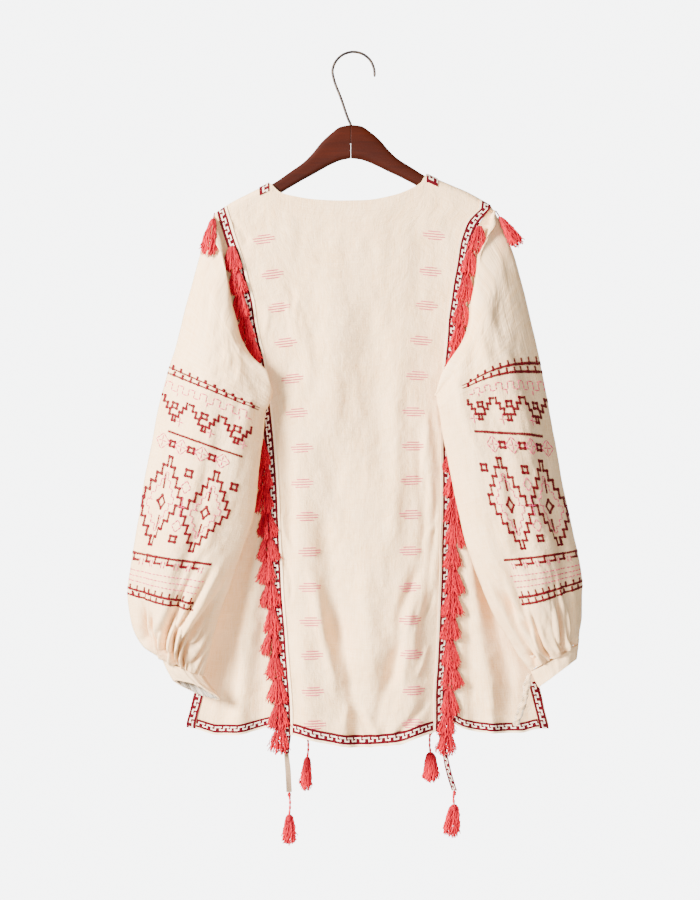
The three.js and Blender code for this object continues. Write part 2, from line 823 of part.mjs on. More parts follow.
// The point of a panel's edge at a height
function onSeam(side, layer, z) {
  const grid = panels[layer];
  const column = side === "left" ? 0 : LAST_COLUMN;
  let row = 3;
  while (row < grid.points.length - 2 && grid.points[row + 1][column].z > z) row++;
  const a = grid.points[row][column];
  const b = grid.points[row + 1][column];
  return a.clone().lerp(b, clamp((z - a.z) / (b.z - a.z)));
}

// A point just below the end of a seam ribbon, by share of its width from the seam
function ribbonEnd(side, layer, share) {
  const { points, dirs } = panels[layer];
  const low = points.length - 1;
  const [a, b] = side === "left" ? [0, 1] : [LAST_COLUMN, LAST_COLUMN - 1];
  const point = points[low][a].clone().lerp(points[low][b], share);
  point.addScaledVector(dirs[low][a], SEAM_GAP + RIBBON_WALL);
  return point.add(new THREE.Vector3(0, 0, -SEAM_GAP));
}

function endTassel({ side, layer, cord, long }) {
  const head = 9;
  const tailEnd = tailLine[side][tailLine[side].length - 1];
  const top = layer === "back"
    ? new THREE.Vector3(tailEnd.x, TAIL_Y, tailEnd.z - SEAM_GAP)
    : ribbonEnd(side, layer, 0.3);
  const at = top.clone().add(new THREE.Vector3(0, 0, -cord));
  const shape = solid(tassel(at, 6, long, head, 5, Math.PI / 6, 0));
  const thread = new THREE.CylinderGeometry(1.1, 1.1, cord, 5, 1).rotateX(Math.PI / 2);
  thread.translate(top.x, top.y, top.z - cord / 2 - 2);
  const knot = new THREE.SphereGeometry(2.6, 6, 4).rotateX(Math.PI / 2);
  knot.translate(top.x, top.y, top.z - 2.6);
  return geometryOf(shape.add(solid(thread)).add(solid(knot)));
}

function tail(side) {
  const points = tailLine[side].map(({ x, z, wide }) => [
    new THREE.Vector3(x - wide / 2, TAIL_Y, z),
    new THREE.Vector3(x + wide / 2, TAIL_Y, z),
  ]);
  const top = TAIL_SHARE[side].map((share) => ribbonEnd(side, "back", share));
  points.unshift(top[0].x < top[1].x ? top : top.reverse());
  const dirs = points.map((row) => row.map(() => new THREE.Vector3(0, -1, 0)));
  return wall(points, dirs, RIBBON_WALL);
}

function arm(side) {
  const outX = side === "left" ? -1 : 1;
  const start = ARM_CENTRE.x + outX * (SEAM_GAP / 2 + ARM_EDGE);
  const offs = [13, 26, 39, 49.4, 60.5, 78, 98.8, 130, 154, ARM_REACH - ARM_EDGE];
  const xs = [start, ...offs.map((off) => ARM_CENTRE.x + outX * off)];
  const shape = new THREE.Shape();
  const inset = (line, x) => ARM_EDGE * Math.hypot(1, (line(x + 4) - line(x - 4)) / 8);
  xs.forEach((x, i) => {
    const z = armTop(x) - inset(armTop, x);
    if (i) shape.lineTo(x, z);
    else shape.moveTo(x, z);
  });
  [...xs].reverse().forEach((x) => {
    const low = armBottom(x) + inset(armBottom, x);
    shape.lineTo(x, Math.min(low, armTop(x) - inset(armTop, x) - 1.5));
  });
  const geometry = new THREE.ExtrudeGeometry(shape, {
    depth: ARM_THICK - 2 * ARM_EDGE,
    bevelThickness: ARM_EDGE,
    bevelSize: ARM_EDGE,
    bevelSegments: 2,
  });
  geometry.rotateX(Math.PI / 2).translate(0, ARM_THICK / 2 - ARM_EDGE, 0);
  const hole = new THREE.CylinderGeometry(HOOK_HOLE / 2, HOOK_HOLE / 2, 60, 16);
  hole.rotateX(Math.PI / 2).translate(ARM_CENTRE.x, 0, ARM_CENTRE.z - HOOK_DEPTH + 29);
  return geometryOf(solid(geometry).subtract(solid(hole)));
}

function hook() {
  const path = new THREE.CatmullRomCurve3([
    new THREE.Vector3(ARM_CENTRE.x, 0, ARM_CENTRE.z - HOOK_DEPTH),
    new THREE.Vector3(ARM_CENTRE.x, 0, ARM_CENTRE.z - 16),
    new THREE.Vector3(ARM_CENTRE.x, 0, ARM_CENTRE.z - 8),
    new THREE.Vector3(ARM_CENTRE.x, 0, ARM_CENTRE.z),
    new THREE.Vector3(-6, 0, -86),
    new THREE.Vector3(-15, 0, -60),
    new THREE.Vector3(-25.5, 0, -31),
    ...steps(0, 6).map((i) => {
      const angle = Math.PI * (0.985 - i * 0.155);
      return new THREE.Vector3(27.3 * Math.cos(angle) + 0.6, 0, 27.3 * Math.sin(angle) - 25.55);
    }),
    new THREE.Vector3(28.2, 0, -31),
  ]);
  const round = new THREE.Shape().absarc(0, 0, HOOK_WIRE / 2, 0, 2 * Math.PI);
  return new THREE.ExtrudeGeometry(round, {
    steps: 34,
    curveSegments: 5,
    bevelEnabled: false,
    extrudePath: path,
  });
}

// The serged edges of the slit in the right cuff, hanging down
function slitEdge() {
  const rows = named(["x", "z", "wide", "y"], [
    [227, -802.5, 4, -34],
    [223, -816, 9, -36],
    [221, -832, 7, -35],
    [216, -846, 10, -37],
    [212, -858, 9, -36],
    [209, -868, 8, -36],
  ]);
  const points = rows.map((row, i) => [
    new THREE.Vector3(row.x - row.wide / 2, row.y, row.z),
    new THREE.Vector3(row.x, row.y - (i % 2 ? 3 : 1), row.z - 1),
    new THREE.Vector3(row.x + row.wide / 2, row.y, row.z),
  ]);
  const dirs = points.map((row) => row.map(() => new THREE.Vector3(0, -1, 0)));
  return wall(points, dirs, CLOTH);
}

const group = new THREE.Group();
group.name = "embroidered_tunic";

function add(name, geometry, look) {
  const mesh = new THREE.Mesh(geometry, new THREE.MeshStandardMaterial(colours[look]));
  mesh.name = name;
  group.add(mesh);
}

for (const layer of ["back", "front"]) {
  const grid = panels[layer];
  const low = grid.points.length - 1;
  add(`${layer}_panel`, wall(grid.points, grid.dirs, CLOTH), "cloth");
  const strip = (rows, columns) => band(grid, rows, columns, SEAM_GAP, RIBBON_WALL);
  add(`seam_ribbon_${layer}_left`, strip(steps(3, low), [0.02, 1]), "ribbon");
  add(`seam_ribbon_${layer}_right`, strip(steps(3, low), [LAST_COLUMN - 1, LAST_COLUMN - 0.02]), "ribbon");
  const across = [1.03, ...steps(2, LAST_COLUMN - 2), LAST_COLUMN - 1.03];
  add(`hem_ribbon_${layer}`, strip([low - 1, low], across), "ribbon");
  for (const side of ["left", "right"]) {
    const gore = goreGrid(side, layer);
    const end = gore.points.length - 1;
    add(`gore_${layer}_${side}`, wall(gore.points, gore.dirs, CLOTH), "cloth");
    const lay = (rows, columns) => band(gore, rows, columns, SEAM_GAP, RIBBON_WALL);
    add(`gore_ribbon_${layer}_${side}`, lay([end - 1, end], [0.14, 1, 2, 2.98]), "ribbon");
    add(`vent_ribbon_${layer}_${side}`, lay([end - 2, end - 1, end], [3.06, 4]), "ribbon");
  }
}

const neck = band(panels.front, [0.1, 1, 2, 3, 3.2], NECK_COLUMNS, SEAM_GAP, RIBBON_WALL);
add("neck_ribbon_front", neck, "ribbon");

for (const side of ["left", "right"]) {
  const sleeve = sleeveGrid(side);
  add(`sleeve_${side}`, wall(sleeve.points, sleeve.dirs, CLOTH, true), "cloth");
  const cuff = cuffGrid(side);
  add(`cuff_${side}`, wall(cuff.points, cuff.dirs, CUFF_WALL, true), "cloth");
  add(`tail_ribbon_${side}`, tail(side), "ribbon");
}
add("cuff_slit_right", slitEdge(), "cloth");

for (const run of tasselRuns) {
  add(`tassel_trim_${run.layer}_${run.side}`, tasselTrim(run), "tassel");
}
for (const end of endTassels) {
  add(`end_tassel_${end.layer}_${end.side}`, endTassel(end), "tassel");
}

add("hanger_arm_left", arm("left"), "wood");
add("hanger_arm_right", arm("right"), "wood");
add("hanger_hook", hook(), "wire");

export default group;
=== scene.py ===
import math
import bpy
import numpy as np
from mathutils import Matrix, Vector


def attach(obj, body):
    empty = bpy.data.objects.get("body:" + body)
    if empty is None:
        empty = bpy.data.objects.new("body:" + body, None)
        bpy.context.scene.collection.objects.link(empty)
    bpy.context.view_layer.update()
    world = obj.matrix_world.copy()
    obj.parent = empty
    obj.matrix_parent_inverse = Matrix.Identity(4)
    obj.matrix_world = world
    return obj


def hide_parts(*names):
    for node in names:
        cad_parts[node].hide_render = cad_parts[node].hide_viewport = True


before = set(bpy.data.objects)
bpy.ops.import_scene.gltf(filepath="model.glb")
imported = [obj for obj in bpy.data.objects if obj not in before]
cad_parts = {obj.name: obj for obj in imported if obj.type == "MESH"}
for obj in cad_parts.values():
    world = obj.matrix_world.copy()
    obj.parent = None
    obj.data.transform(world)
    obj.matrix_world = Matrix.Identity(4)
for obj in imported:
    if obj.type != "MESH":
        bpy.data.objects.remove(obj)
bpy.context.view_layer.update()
mm = 0.001
rng = np.random.default_rng(11)
pi = math.pi
bothSides = ("left", "right")
layers = ("back", "front")
outward = {"left": -1, "right": 1}

view = {"across": -0.0039, "height": -0.5158, "distance": 2.7625, "lens": 85}
light = {
    "world": (0.96, 0.98, 1.0), "worldStrength": 0.55,
    "keyPlace": (-2.2, -1.75, 0.35), "keySize": 1.1, "keyPower": 600,
    "fillPlace": (0.5, -2.6, -0.5), "fillSize": 1.6, "fillPower": 40,
    "backPlace": (0.3, 1.9, 0.2), "backSize": 2.0, "backPower": 30,
    "backdrop": 6.5,
}


def aimed(obj, place, target):
    obj.location = place
    obj.rotation_mode = "QUATERNION"
    obj.rotation_quaternion = (obj.location - Vector(target)).to_track_quat("Z", "Y")
    bpy.context.scene.collection.objects.link(obj)
    return obj


def makeView():
    camera = bpy.data.cameras.new("camera")
    camera.lens = view["lens"]
    camera.sensor_width = 36
    camera.clip_end = 50
    spot = (view["across"], -view["distance"], view["height"])
    bpy.context.scene.camera = aimed(
        bpy.data.objects.new("camera", camera), spot, (view["across"], 0, view["height"]))


def areaLight(name, place, size, power, colour=(1, 1, 1)):
    data = bpy.data.lights.new(name, "AREA")
    data.shape = "DISK"
    data.size = size
    data.energy = power
    data.color = colour
    aimed(bpy.data.objects.new(name, data), place, (0, 0, -0.5))


def makeLight():
    world = bpy.data.worlds.new("soft studio")
    bpy.context.scene.world = world
    world.use_nodes = True
    glow = world.node_tree.nodes["Background"]
    glow.inputs["Color"].default_value = (*light["world"], 1)
    glow.inputs["Strength"].default_value = light["worldStrength"]
    areaLight("key", light["keyPlace"], light["keySize"], light["keyPower"], (1, 0.985, 0.96))
    areaLight("fill", light["fillPlace"], light["fillSize"], light["fillPower"])
    areaLight("back", light["backPlace"], light["backSize"], light["backPower"])


makeView()
makeLight()
print("camera and light")


class Wire:                                  # one socket of a tree, used as a number
    def __init__(self, tree, socket):
        self.tree = tree
        self.socket = socket

    def node(self, kind, settings=None, values=None, out=0):
        made = self.tree.nodes.new(kind)
        for name, value in (settings or {}).items():
            setattr(made, name, value)
        for name, value in (values or {}).items():
            socket = made.inputs[name]
            if isinstance(value, Wire):
                self.tree.links.new(value.socket, socket)
            else:
                socket.default_value = value
        return Wire(self.tree, made.outputs[out])

    def math(self, operation, *others):
        values = {i: value for i, value in enumerate((self, *others))}
        return self.node("ShaderNodeMath", {"operation": operation}, values)

    def flipped(self, operation, other):
        return self.node("ShaderNodeMath", {"operation": operation}, {0: other, 1: self})

    def __add__(self, other):
        return self.math("ADD", other)

    def __radd__(self, other):
        return self.math("ADD", other)

    def __sub__(self, other):
        return self.math("SUBTRACT", other)

    def __rsub__(self, other):
        return self.flipped("SUBTRACT", other)

    def __mul__(self, other):
        return self.math("MULTIPLY", other)

    def __rmul__(self, other):
        return self.math("MULTIPLY", other)

    def __truediv__(self, other):
        return self.math("DIVIDE", other)

    def __lt__(self, other):
        return self.math("LESS_THAN", other)

    def __gt__(self, other):
        return self.math("GREATER_THAN", other)

    def fract(self):
        return self.math("FRACT")

    def inside(self, low, high):
        return (self > low) * (self < high)

    def held(self, low=0.0, high=1.0):
        return self.math("MAXIMUM", low).math("MINIMUM", high)

    def mix(self, low, high):                # this value picks between two colours
        return self.node("ShaderNodeMix", {"data_type": "RGBA"}, {0: self, 6: low, 7: high}, 2)


def rgb(red, green, blue):                   # screen colour to the renderer's
    linear = [((c / 255 + 0.055) / 1.055) ** 2.4 if c > 10 else c / 3294.6 for c in (red, green, blue)]
    return (*linear, 1)


def material(name):
    made = bpy.data.materials.new(name)
    made.use_nodes = True
    made.node_tree.nodes.clear()
    return made, Wire(made.node_tree, None)


def finished(made, start, surface, bump=None, strength=0.3, depth=0.0002):
    values = dict(surface)
    if bump is not None:
        values["Normal"] = start.node(
            "ShaderNodeBump", None, {"Strength": strength, "Distance": depth, "Height": bump})
    shader = start.node("ShaderNodeBsdfPrincipled", None, values)
    output = made.node_tree.nodes.new("ShaderNodeOutputMaterial")
    made.node_tree.links.new(shader.socket, output.inputs["Surface"])
    return made


def noise(start, where, scale, detail=2.0, rough=0.5):
    return start.node(
        "ShaderNodeTexNoise", None,
        {"Vector": where, "Scale": scale, "Detail": detail, "Roughness": rough})


def stretched(start, where, x, y, z=1.0):
    return start.node("ShaderNodeMapping", None, {"Vector": where, "Scale": (x, y, z)})


def weavePlace(start):                       # the unrolled cloth and its two directions
    flat = start.node("ShaderNodeUVMap", {"uv_map": "Weave"})
    parts = start.node("ShaderNodeSeparateXYZ", None, {0: flat})
    return flat, parts, Wire(parts.tree, parts.socket.node.outputs[1])


def objectPlace(start):
    return start.node("ShaderNodeTexCoord", None, None, 3)


clothLook = {
    "colour": rgb(247, 211, 166), "streak": rgb(236, 188, 132), "speck": rgb(204, 146, 92),
    "threads": 1.15,                         # threads per millimetre
}


def clothMaterial(name, look):
    made, start = material(name)
    flat, u, v = weavePlace(start)
    down = noise(start, stretched(start, flat, 1.1, 0.045), 1.0, 3.0, 0.6)
    across = noise(start, stretched(start, flat, 0.04, 1.3), 1.0, 3.0, 0.6)
    cloud = noise(start, stretched(start, flat, 0.02, 0.02), 1.0, 3.0)
    speck = noise(start, flat, 0.9, 2.0, 0.7)
    streaks = ((down - 0.5) * 2.2 + (across - 0.5) * 1.6 + (cloud - 0.5) * 0.8 + 0.35).held()
    colour = streaks.mix(look["colour"], look["streak"])
    colour = ((speck - 0.62) * 5.0).held(0.0, 0.5).mix(colour, look["speck"])
    turn = 2 * pi * look["threads"]
    weave = (u * turn).math("SINE") * 0.5 + (v * turn * 0.92).math("SINE") * 0.5
    crease = noise(start, stretched(start, flat, 0.11, 0.07), 1.0, 4.0, 0.62)
    height = weave * 0.35 + down * 1.6 + across * 1.9 + crease * 7.0
    return finished(made, start, {
        "Base Color": colour, "Roughness": 0.95, "Specular IOR Level": 0.08}, height, 0.8, 0.00035)


keyLook = {
    "red": rgb(84, 0, 13), "dark": rgb(56, 0, 8), "white": rgb(242, 222, 198),
    "cream": rgb(246, 216, 176), "period": 11.4,  # length of one key in millimetres
}


def keyMaterial(name, look, piping):         # piping: share of the width that is a cream edge
    made, start = material(name)
    flat, u, v = weavePlace(start)
    wobble = noise(start, stretched(start, flat, 0.5, 3.0), 1.0)
    x = (u / look["period"] + (wobble - 0.5) * 0.03).fract()
    y = (v + (wobble - 0.5) * 0.04) / (1 - piping)
    foot = y.inside(0.27, 0.41) * ((x < 0.42) + (x > 0.64))
    stem = x.inside(0.28, 0.42) * y.inside(0.27, 0.74)
    roof = x.inside(0.28, 0.88) * y.inside(0.6, 0.74)
    drop = x.inside(0.75, 0.88) * y.inside(0.47, 0.74)
    path = (foot + stem + roof + drop).math("MINIMUM", 1.0)
    thread = (u * 2 * pi * 1.3).math("SINE") * 0.5 + 0.5
    shade = noise(start, flat, 0.4, 3.0)
    white = (thread * 0.14 + shade * 0.25).mix(look["white"], rgb(200, 170, 150))
    dark = (thread * 0.35 + shade * 0.5).mix(look["red"], look["dark"])
    colour = (y > 1.0).mix(path.mix(dark, white), look["cream"])
    height = thread * 0.5 + (1 - path) * 0.5 + (y > 1.0) * 1.2
    return finished(made, start, {
        "Base Color": colour, "Roughness": 0.85, "Specular IOR Level": 0.1}, height, 0.6, 0.0003)


def threadMaterial(name, low, high, gloss=0.62):
    made, start = material(name)
    tint = start.node("ShaderNodeAttribute", {"attribute_name": "tint"}, None, 2)
    place = objectPlace(start)
    grain = noise(start, place, 900.0, 2.0)
    # tint: per-thread tone from the mesh, which on the tassels also carries painted shade
    colour = (tint * 0.85 + (grain - 0.5) * 0.5).held().mix(low, high)
    return finished(made, start, {
        "Base Color": colour, "Roughness": gloss, "Specular IOR Level": 0.12}, grain, 0.4, 0.0002)


def woodMaterial(name, look):
    made, start = material(name)
    place = objectPlace(start)
    warp = noise(start, stretched(start, place, 3.0, 60.0, 30.0), 3.0, 2.0)
    grain = noise(start, stretched(start, place, 14.0, 260.0, 170.0), 1.6, 4.0, 0.6)
    pores = noise(start, stretched(start, place, 120.0, 900.0, 900.0), 1.0, 2.0)
    colour = ((grain - 0.5) * 1.2 + (warp - 0.5) * 0.9 + 0.4).held().mix(look["light"], look["dark"])
    return finished(made, start, {
        "Base Color": colour, "Roughness": 0.45 + pores * 0.2, "Specular IOR Level": 0.08,
        "Coat Weight": 0.03, "Coat Roughness": 0.2}, grain * 0.6 + pores * 0.4, 0.12, 0.0003)


def wireMaterial(name, look):
    made, start = material(name)
    place = objectPlace(start)
    patina = noise(start, place, 160.0, 4.0, 0.6)
    fine = noise(start, place, 900.0, 2.0)
    colour = ((patina - 0.45) * 4.0).held().mix(look["dark"], look["light"])
    return finished(made, start, {
        "Base Color": colour, "Metallic": 0.85, "Roughness": 0.3 + patina * 0.25}, fine, 0.12, 0.0002)


def paleMaterial(name, colour):
    made, start = material(name)
    place = objectPlace(start)
    soft = noise(start, place, 4.0, 3.0)
    shade = (soft * 0.2).mix(colour, rgb(222, 222, 220))
    return finished(made, start, {"Base Color": shade, "Roughness": 0.9})


cloth = clothMaterial("handwoven cotton", clothLook)
reverse = clothMaterial("ribbon reverse", {
    "colour": rgb(150, 124, 98), "streak": rgb(124, 98, 76), "speck": rgb(104, 60, 50), "threads": 1.4})
key = keyMaterial("woven key", keyLook, 0.0)
pipedKey = keyMaterial("woven key with piping", keyLook, 0.2)
coral = threadMaterial("coral thread", rgb(112, 1, 20), rgb(226, 20, 46))
redThread = threadMaterial("dark red thread", rgb(76, 0, 8), rgb(108, 1, 15), 0.6)
pinkThread = threadMaterial("pale pink thread", rgb(196, 44, 86), rgb(222, 80, 120), 0.6)
# overlock thread: cream, and its dark end, given to stitches at random, is painted shade standing in for the
# shadow between the stitches
overlockThreadWithShade = threadMaterial("overlock thread", rgb(96, 82, 66), rgb(240, 226, 206), 0.6)
wood = woodMaterial("stained wood", {"light": rgb(50, 11, 0), "dark": rgb(31, 5, 0)})
bronze = wireMaterial("dark bronze", {"dark": rgb(48, 40, 36), "light": rgb(92, 78, 66)})
print("materials")


def hermite(a, b, slopeA, slopeB, gap, t):
    keep, pull = (1 - t) ** 2, t * t
    return (a * keep * (1 + 2 * t) + slopeA * gap * t * keep
            + b * pull * (3 - 2 * t) - slopeB * gap * pull * (1 - t))


def smoothLine(xs, ys):                      # a smooth curve through a table, without overshoot
    xs, ys = np.asarray(xs, float), np.asarray(ys, float)
    if xs[0] > xs[-1]:
        xs, ys = xs[::-1], ys[::-1]
    wide = np.diff(xs).reshape((-1,) + (1,) * (ys.ndim - 1))
    rise = np.diff(ys, axis=0) / wide
    slope = np.concatenate([rise[:1], np.zeros_like(rise[1:]), rise[-1:]])
    if len(xs) > 2:
        a, b = rise[:-1], rise[1:]
        same = a * b > 1e-12
        wa, wb = 2 * wide[1:] + wide[:-1], wide[1:] + 2 * wide[:-1]
        safeA, safeB = np.where(same, a, 1), np.where(same, b, 1)
        slope[1:-1] = np.where(same, (wa + wb) / (wa / safeA + wb / safeB), 0)

    def value(at):
        at = np.clip(at, xs[0], xs[-1])
        i = np.clip(np.searchsorted(xs, at) - 1, 0, len(xs) - 2)
        gap = xs[i + 1] - xs[i]
        t = (at - xs[i]) / gap
        grow = t.shape + (1,) * (ys.ndim - 1) if hasattr(t, "shape") else ()
        t, gap = np.reshape(t, grow), np.reshape(gap, grow)
        return hermite(ys[i], ys[i + 1], slope[i], slope[i + 1], gap, t)
    return value


def column(rows, at, value):
    return smoothLine([row[at] for row in rows], [row[value] for row in rows])


def ease(t):
    s = np.clip(t, 0, 1)
    return s * s * (3 - 2 * s)


def lerp(a, b, t):
    return a + (b - a) * t


def softNoise(x, y, size, seed):             # smooth random hills, about -1 to 1
    picks = np.random.default_rng(seed).uniform(-1, 1, (64, 64))
    x, y = np.asarray(x) / size + 400.5, np.asarray(y) / size + 400.5
    ix, iy = np.floor(x).astype(int), np.floor(y).astype(int)
    fx, fy = x - ix, y - iy
    fx, fy = fx ** 3 * (fx * (6 * fx - 15) + 10), fy ** 3 * (fy * (6 * fy - 15) + 10)
    at = lambda a, b: picks[(ix + a) % 64, (iy + b) % 64]
    return lerp(lerp(at(0, 0), at(1, 0), fx), lerp(at(0, 1), at(1, 1), fx), fy)


def lengths(line):                           # distance along a line up to each of its points
    return np.concatenate([[0], np.cumsum(np.linalg.norm(np.diff(line, axis=0), axis=1))])


def unit(values):
    return values / np.linalg.norm(values, axis=-1, keepdims=True)


def squareTo(points, sign, around=False):
    if around:
        across = np.roll(points, -1, 1) - np.roll(points, 1, 1)
    else:
        across = np.gradient(points, axis=1)
    down = np.gradient(points, axis=0)
    normal = np.cross(across, down) * sign
    return normal / np.maximum(np.linalg.norm(normal, axis=2, keepdims=True), 1e-9)


def sampled(grid, rows, cols):               # points at fractional rows and columns
    rows, cols = np.broadcast_arrays(rows, cols)
    i = np.clip(np.floor(rows).astype(int), 0, grid.shape[0] - 2)
    j = np.clip(np.floor(cols).astype(int), 0, grid.shape[1] - 2)
    a, b = (rows - i)[..., None], (cols - j)[..., None]
    top = grid[i, j] * (1 - b) + grid[i, j + 1] * b
    low = grid[i + 1, j] * (1 - b) + grid[i + 1, j + 1] * b
    return top * (1 - a) + low * a


def standing(name, mesh, look):
    mesh.materials.append(look)
    obj = bpy.data.objects.new(name, mesh)
    bpy.context.scene.collection.objects.link(obj)
    return obj


def gridFaces(rows, cols, spans):            # the four corners of each cell, row after row
    i, j = [part.ravel() for part in np.meshgrid(np.arange(rows - 1), np.arange(spans), indexing="ij")]
    n = (j + 1) % cols
    return np.stack([i * cols + j, i * cols + n, (i + 1) * cols + n, (i + 1) * cols + j], 1)


def shell(name, points, dirs, thick, uv, look, around=False):
    rows, cols = points.shape[:2]
    outer, inner = points.reshape(-1, 3), (points - dirs * thick).reshape(-1, 3)
    spans = cols if around else cols - 1
    quad, flat = gridFaces(rows, cols, spans), gridFaces(rows, cols + 1, spans)
    if not around:
        uv = np.concatenate([uv, uv[:, -1:]], 1)
    normal = np.cross(outer[quad[:, 1]] - outer[quad[:, 0]], outer[quad[:, 3]] - outer[quad[:, 0]])
    forward = (normal * dirs.reshape(-1, 3)[quad[:, 0]]).sum() >= 0
    if not forward:
        quad, flat = quad[:, ::-1], flat[:, ::-1]
    size = rows * cols
    faces, maps = [quad, quad[:, ::-1] + size], [flat, flat[:, ::-1]]

    def rim(a, b, ua, ub, turned):
        strip = np.stack([a, a + size, b + size, b], 1)
        mapped = np.stack([ua, ua, ub, ub], 1)
        faces.append(strip[:, ::-1] if turned else strip)
        maps.append(mapped[:, ::-1] if turned else mapped)

    jj = np.arange(spans)
    jn = (jj + 1) % cols
    last = (rows - 1) * cols
    rim(jj, jn, jj, jj + 1, not forward)
    lastMap = (rows - 1) * (cols + 1)
    rim(last + jj, last + jn, lastMap + jj, lastMap + jj + 1, forward)
    if not around:
        ii = np.arange(rows - 1)
        rim(ii * cols, (ii + 1) * cols, ii * (cols + 1), (ii + 1) * (cols + 1), forward)
        e = cols - 1
        rim(ii * cols + e, (ii + 1) * cols + e, ii * (cols + 1) + e, (ii + 1) * (cols + 1) + e, not forward)
    return meshObject(name, np.concatenate([outer, inner]), np.concatenate(faces), look,
                      uv.reshape(-1, 2)[np.concatenate(maps).ravel()], sharp=size)


def pointMesh(name, spots):
    mesh = bpy.data.meshes.new(name)
    mesh.vertices.add(len(spots))
    mesh.vertices.foreach_set("co", (spots * mm).astype(np.float32).ravel())
    return mesh


def setValues(mesh, kind, field, **values):
    for label, value in values.items():
        made = mesh.attributes.new(label, kind, "POINT")
        made.data.foreach_set(field, value.astype(np.float32).ravel())


def meshObject(name, vertices, faces, look, loopUv, sharp):
    mesh = pointMesh(name, vertices)
    mesh.loops.add(faces.size)
    mesh.loops.foreach_set("vertex_index", faces.astype(np.int32).ravel())
    mesh.polygons.add(len(faces))
    mesh.polygons.foreach_set("loop_start", np.arange(0, faces.size, faces.shape[1], dtype=np.int32))
    mesh.polygons.foreach_set("use_smooth", np.ones(len(faces), bool))
    layer = mesh.uv_layers.new(name="Weave")
    layer.data.foreach_set("uv", loopUv.astype(np.float32).ravel())
    mesh.update(calc_edges=True)
    mesh.validate()
    edges = np.zeros(len(mesh.edges) * 2, np.int32)
    mesh.edges.foreach_get("vertices", edges)
    edges = edges.reshape(-1, 2)
    rims = np.zeros(len(vertices), bool)
    walls = faces[(faces < sharp).any(1) & (faces >= sharp).any(1)]
    rims[walls.ravel()] = True
    same = (edges[:, 0] < sharp) == (edges[:, 1] < sharp)
    mark = rims[edges[:, 0]] & rims[edges[:, 1]] & same
    crisp = mesh.attributes.new("sharp_edge", "BOOLEAN", "EDGE")  # the turned edge of the cloth
    crisp.data.foreach_set("value", mark)
    return standing(name, mesh, look)


def lengthUv(points, around=False):          # unrolled size of a grid in millimetres
    if around:
        points = np.concatenate([points, points[:, :1]], 1)
    middle = points[points.shape[0] // 2]
    u = lengths(middle)
    v = lengths(points[:, points.shape[1] // 2])
    return np.stack(np.broadcast_arrays(u[None, :], v[:, None]), 2)


def ribbonUv(points, alongRows):             # u in millimetres along, v across from 0 to 1
    u = lengths(points.mean(1 if alongRows else 0))
    rows, cols = points.shape[:2]
    if alongRows:
        return np.stack(np.broadcast_arrays(u[:, None], np.linspace(0, 1, cols)[None, :]), 2)
    return np.stack(np.broadcast_arrays(u[None, :], np.linspace(0, 1, rows)[:, None]), 2)


def pieceOf(obj, slot, *nodes):
    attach(obj, "root")
    if nodes:
        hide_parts(*nodes)
    return obj


def newTree(name, inputs):
    tree = bpy.data.node_groups.new(name, "GeometryNodeTree")
    tree.interface.new_socket("Geometry", in_out="OUTPUT", socket_type="NodeSocketGeometry")
    tree.interface.new_socket("Geometry", in_out="INPUT", socket_type="NodeSocketGeometry")
    sockets = {}
    for label, kind, value in inputs:
        socket = tree.interface.new_socket(label, in_out="INPUT", socket_type=kind)
        if value is not None:
            socket.default_value = value
        sockets[label] = socket.identifier
    entry = tree.nodes.new("NodeGroupInput")
    wires = {socket.name: Wire(tree, socket) for socket in entry.outputs if socket.name}
    return tree, wires, sockets


def closeTree(tree, geometry, look):
    done = geometry.node("GeometryNodeRealizeInstances", None, {0: geometry})
    done = done.node("GeometryNodeSetMaterial", None, {"Geometry": done, "Material": look})
    smooth = done.node("GeometryNodeSetShadeSmooth", None, {"Geometry": done})
    leave = tree.nodes.new("NodeGroupOutput")
    tree.links.new(smooth.socket, leave.inputs[0])


def strandTree():                            # round threads along the edges of a mesh
    tree, wires, sockets = newTree("threads", [
        ("Sides", "NodeSocketInt", 3), ("Material", "NodeSocketMaterial", None)])
    start = wires["Geometry"]
    line = start.node("GeometryNodeMeshToCurve", None, {"Mesh": start})
    thick = start.node("GeometryNodeInputNamedAttribute", {"data_type": "FLOAT"}, {"Name": "thick"})
    profile = start.node("GeometryNodeCurvePrimitiveCircle", None, {
        "Resolution": wires["Sides"], "Radius": 1.0})
    tube = start.node("GeometryNodeCurveToMesh", None, {
        "Curve": line, "Profile Curve": profile, "Scale": thick, "Fill Caps": True})
    closeTree(tree, tube, wires["Material"])
    return tree, sockets


def stitchTree():                            # short plump stitches on the points of a mesh
    tree, wires, sockets = newTree("stitches", [
        ("Segments", "NodeSocketInt", 5), ("Rings", "NodeSocketInt", 4),
        ("Material", "NodeSocketMaterial", None)])
    start = wires["Geometry"]
    vector = lambda name: start.node(
        "GeometryNodeInputNamedAttribute", {"data_type": "FLOAT_VECTOR"}, {"Name": name})
    bead = start.node("GeometryNodeMeshUVSphere", None, {
        "Segments": wires["Segments"], "Rings": wires["Rings"], "Radius": 0.5})
    turn = start.node("FunctionNodeAxesToRotation", {"primary_axis": "X", "secondary_axis": "Z"}, {
        "Primary Axis": vector("along"), "Secondary Axis": vector("up")})
    many = start.node("GeometryNodeInstanceOnPoints", None, {
        "Points": start, "Instance": bead, "Rotation": turn, "Scale": vector("size")})
    closeTree(tree, many, wires["Material"])
    return tree, sockets


def grown(name, mesh, tree, sockets, look, **inputs):
    source = bpy.data.objects.new(name, mesh)
    bpy.context.scene.collection.objects.link(source)
    modifier = source.modifiers.new("grow", "NODES")
    modifier.node_group = tree
    modifier[sockets["Material"]] = look
    for label, value in inputs.items():
        modifier[sockets[label]] = value
    bpy.context.view_layer.update()
    ready = source.evaluated_get(bpy.context.evaluated_depsgraph_get())
    final = bpy.data.meshes.new_from_object(ready)
    source.modifiers.clear()
    source.data = final
    if not final.materials:
        final.materials.append(look)
    return source


strands, strandSockets = strandTree()
stitches, stitchSockets = stitchTree()


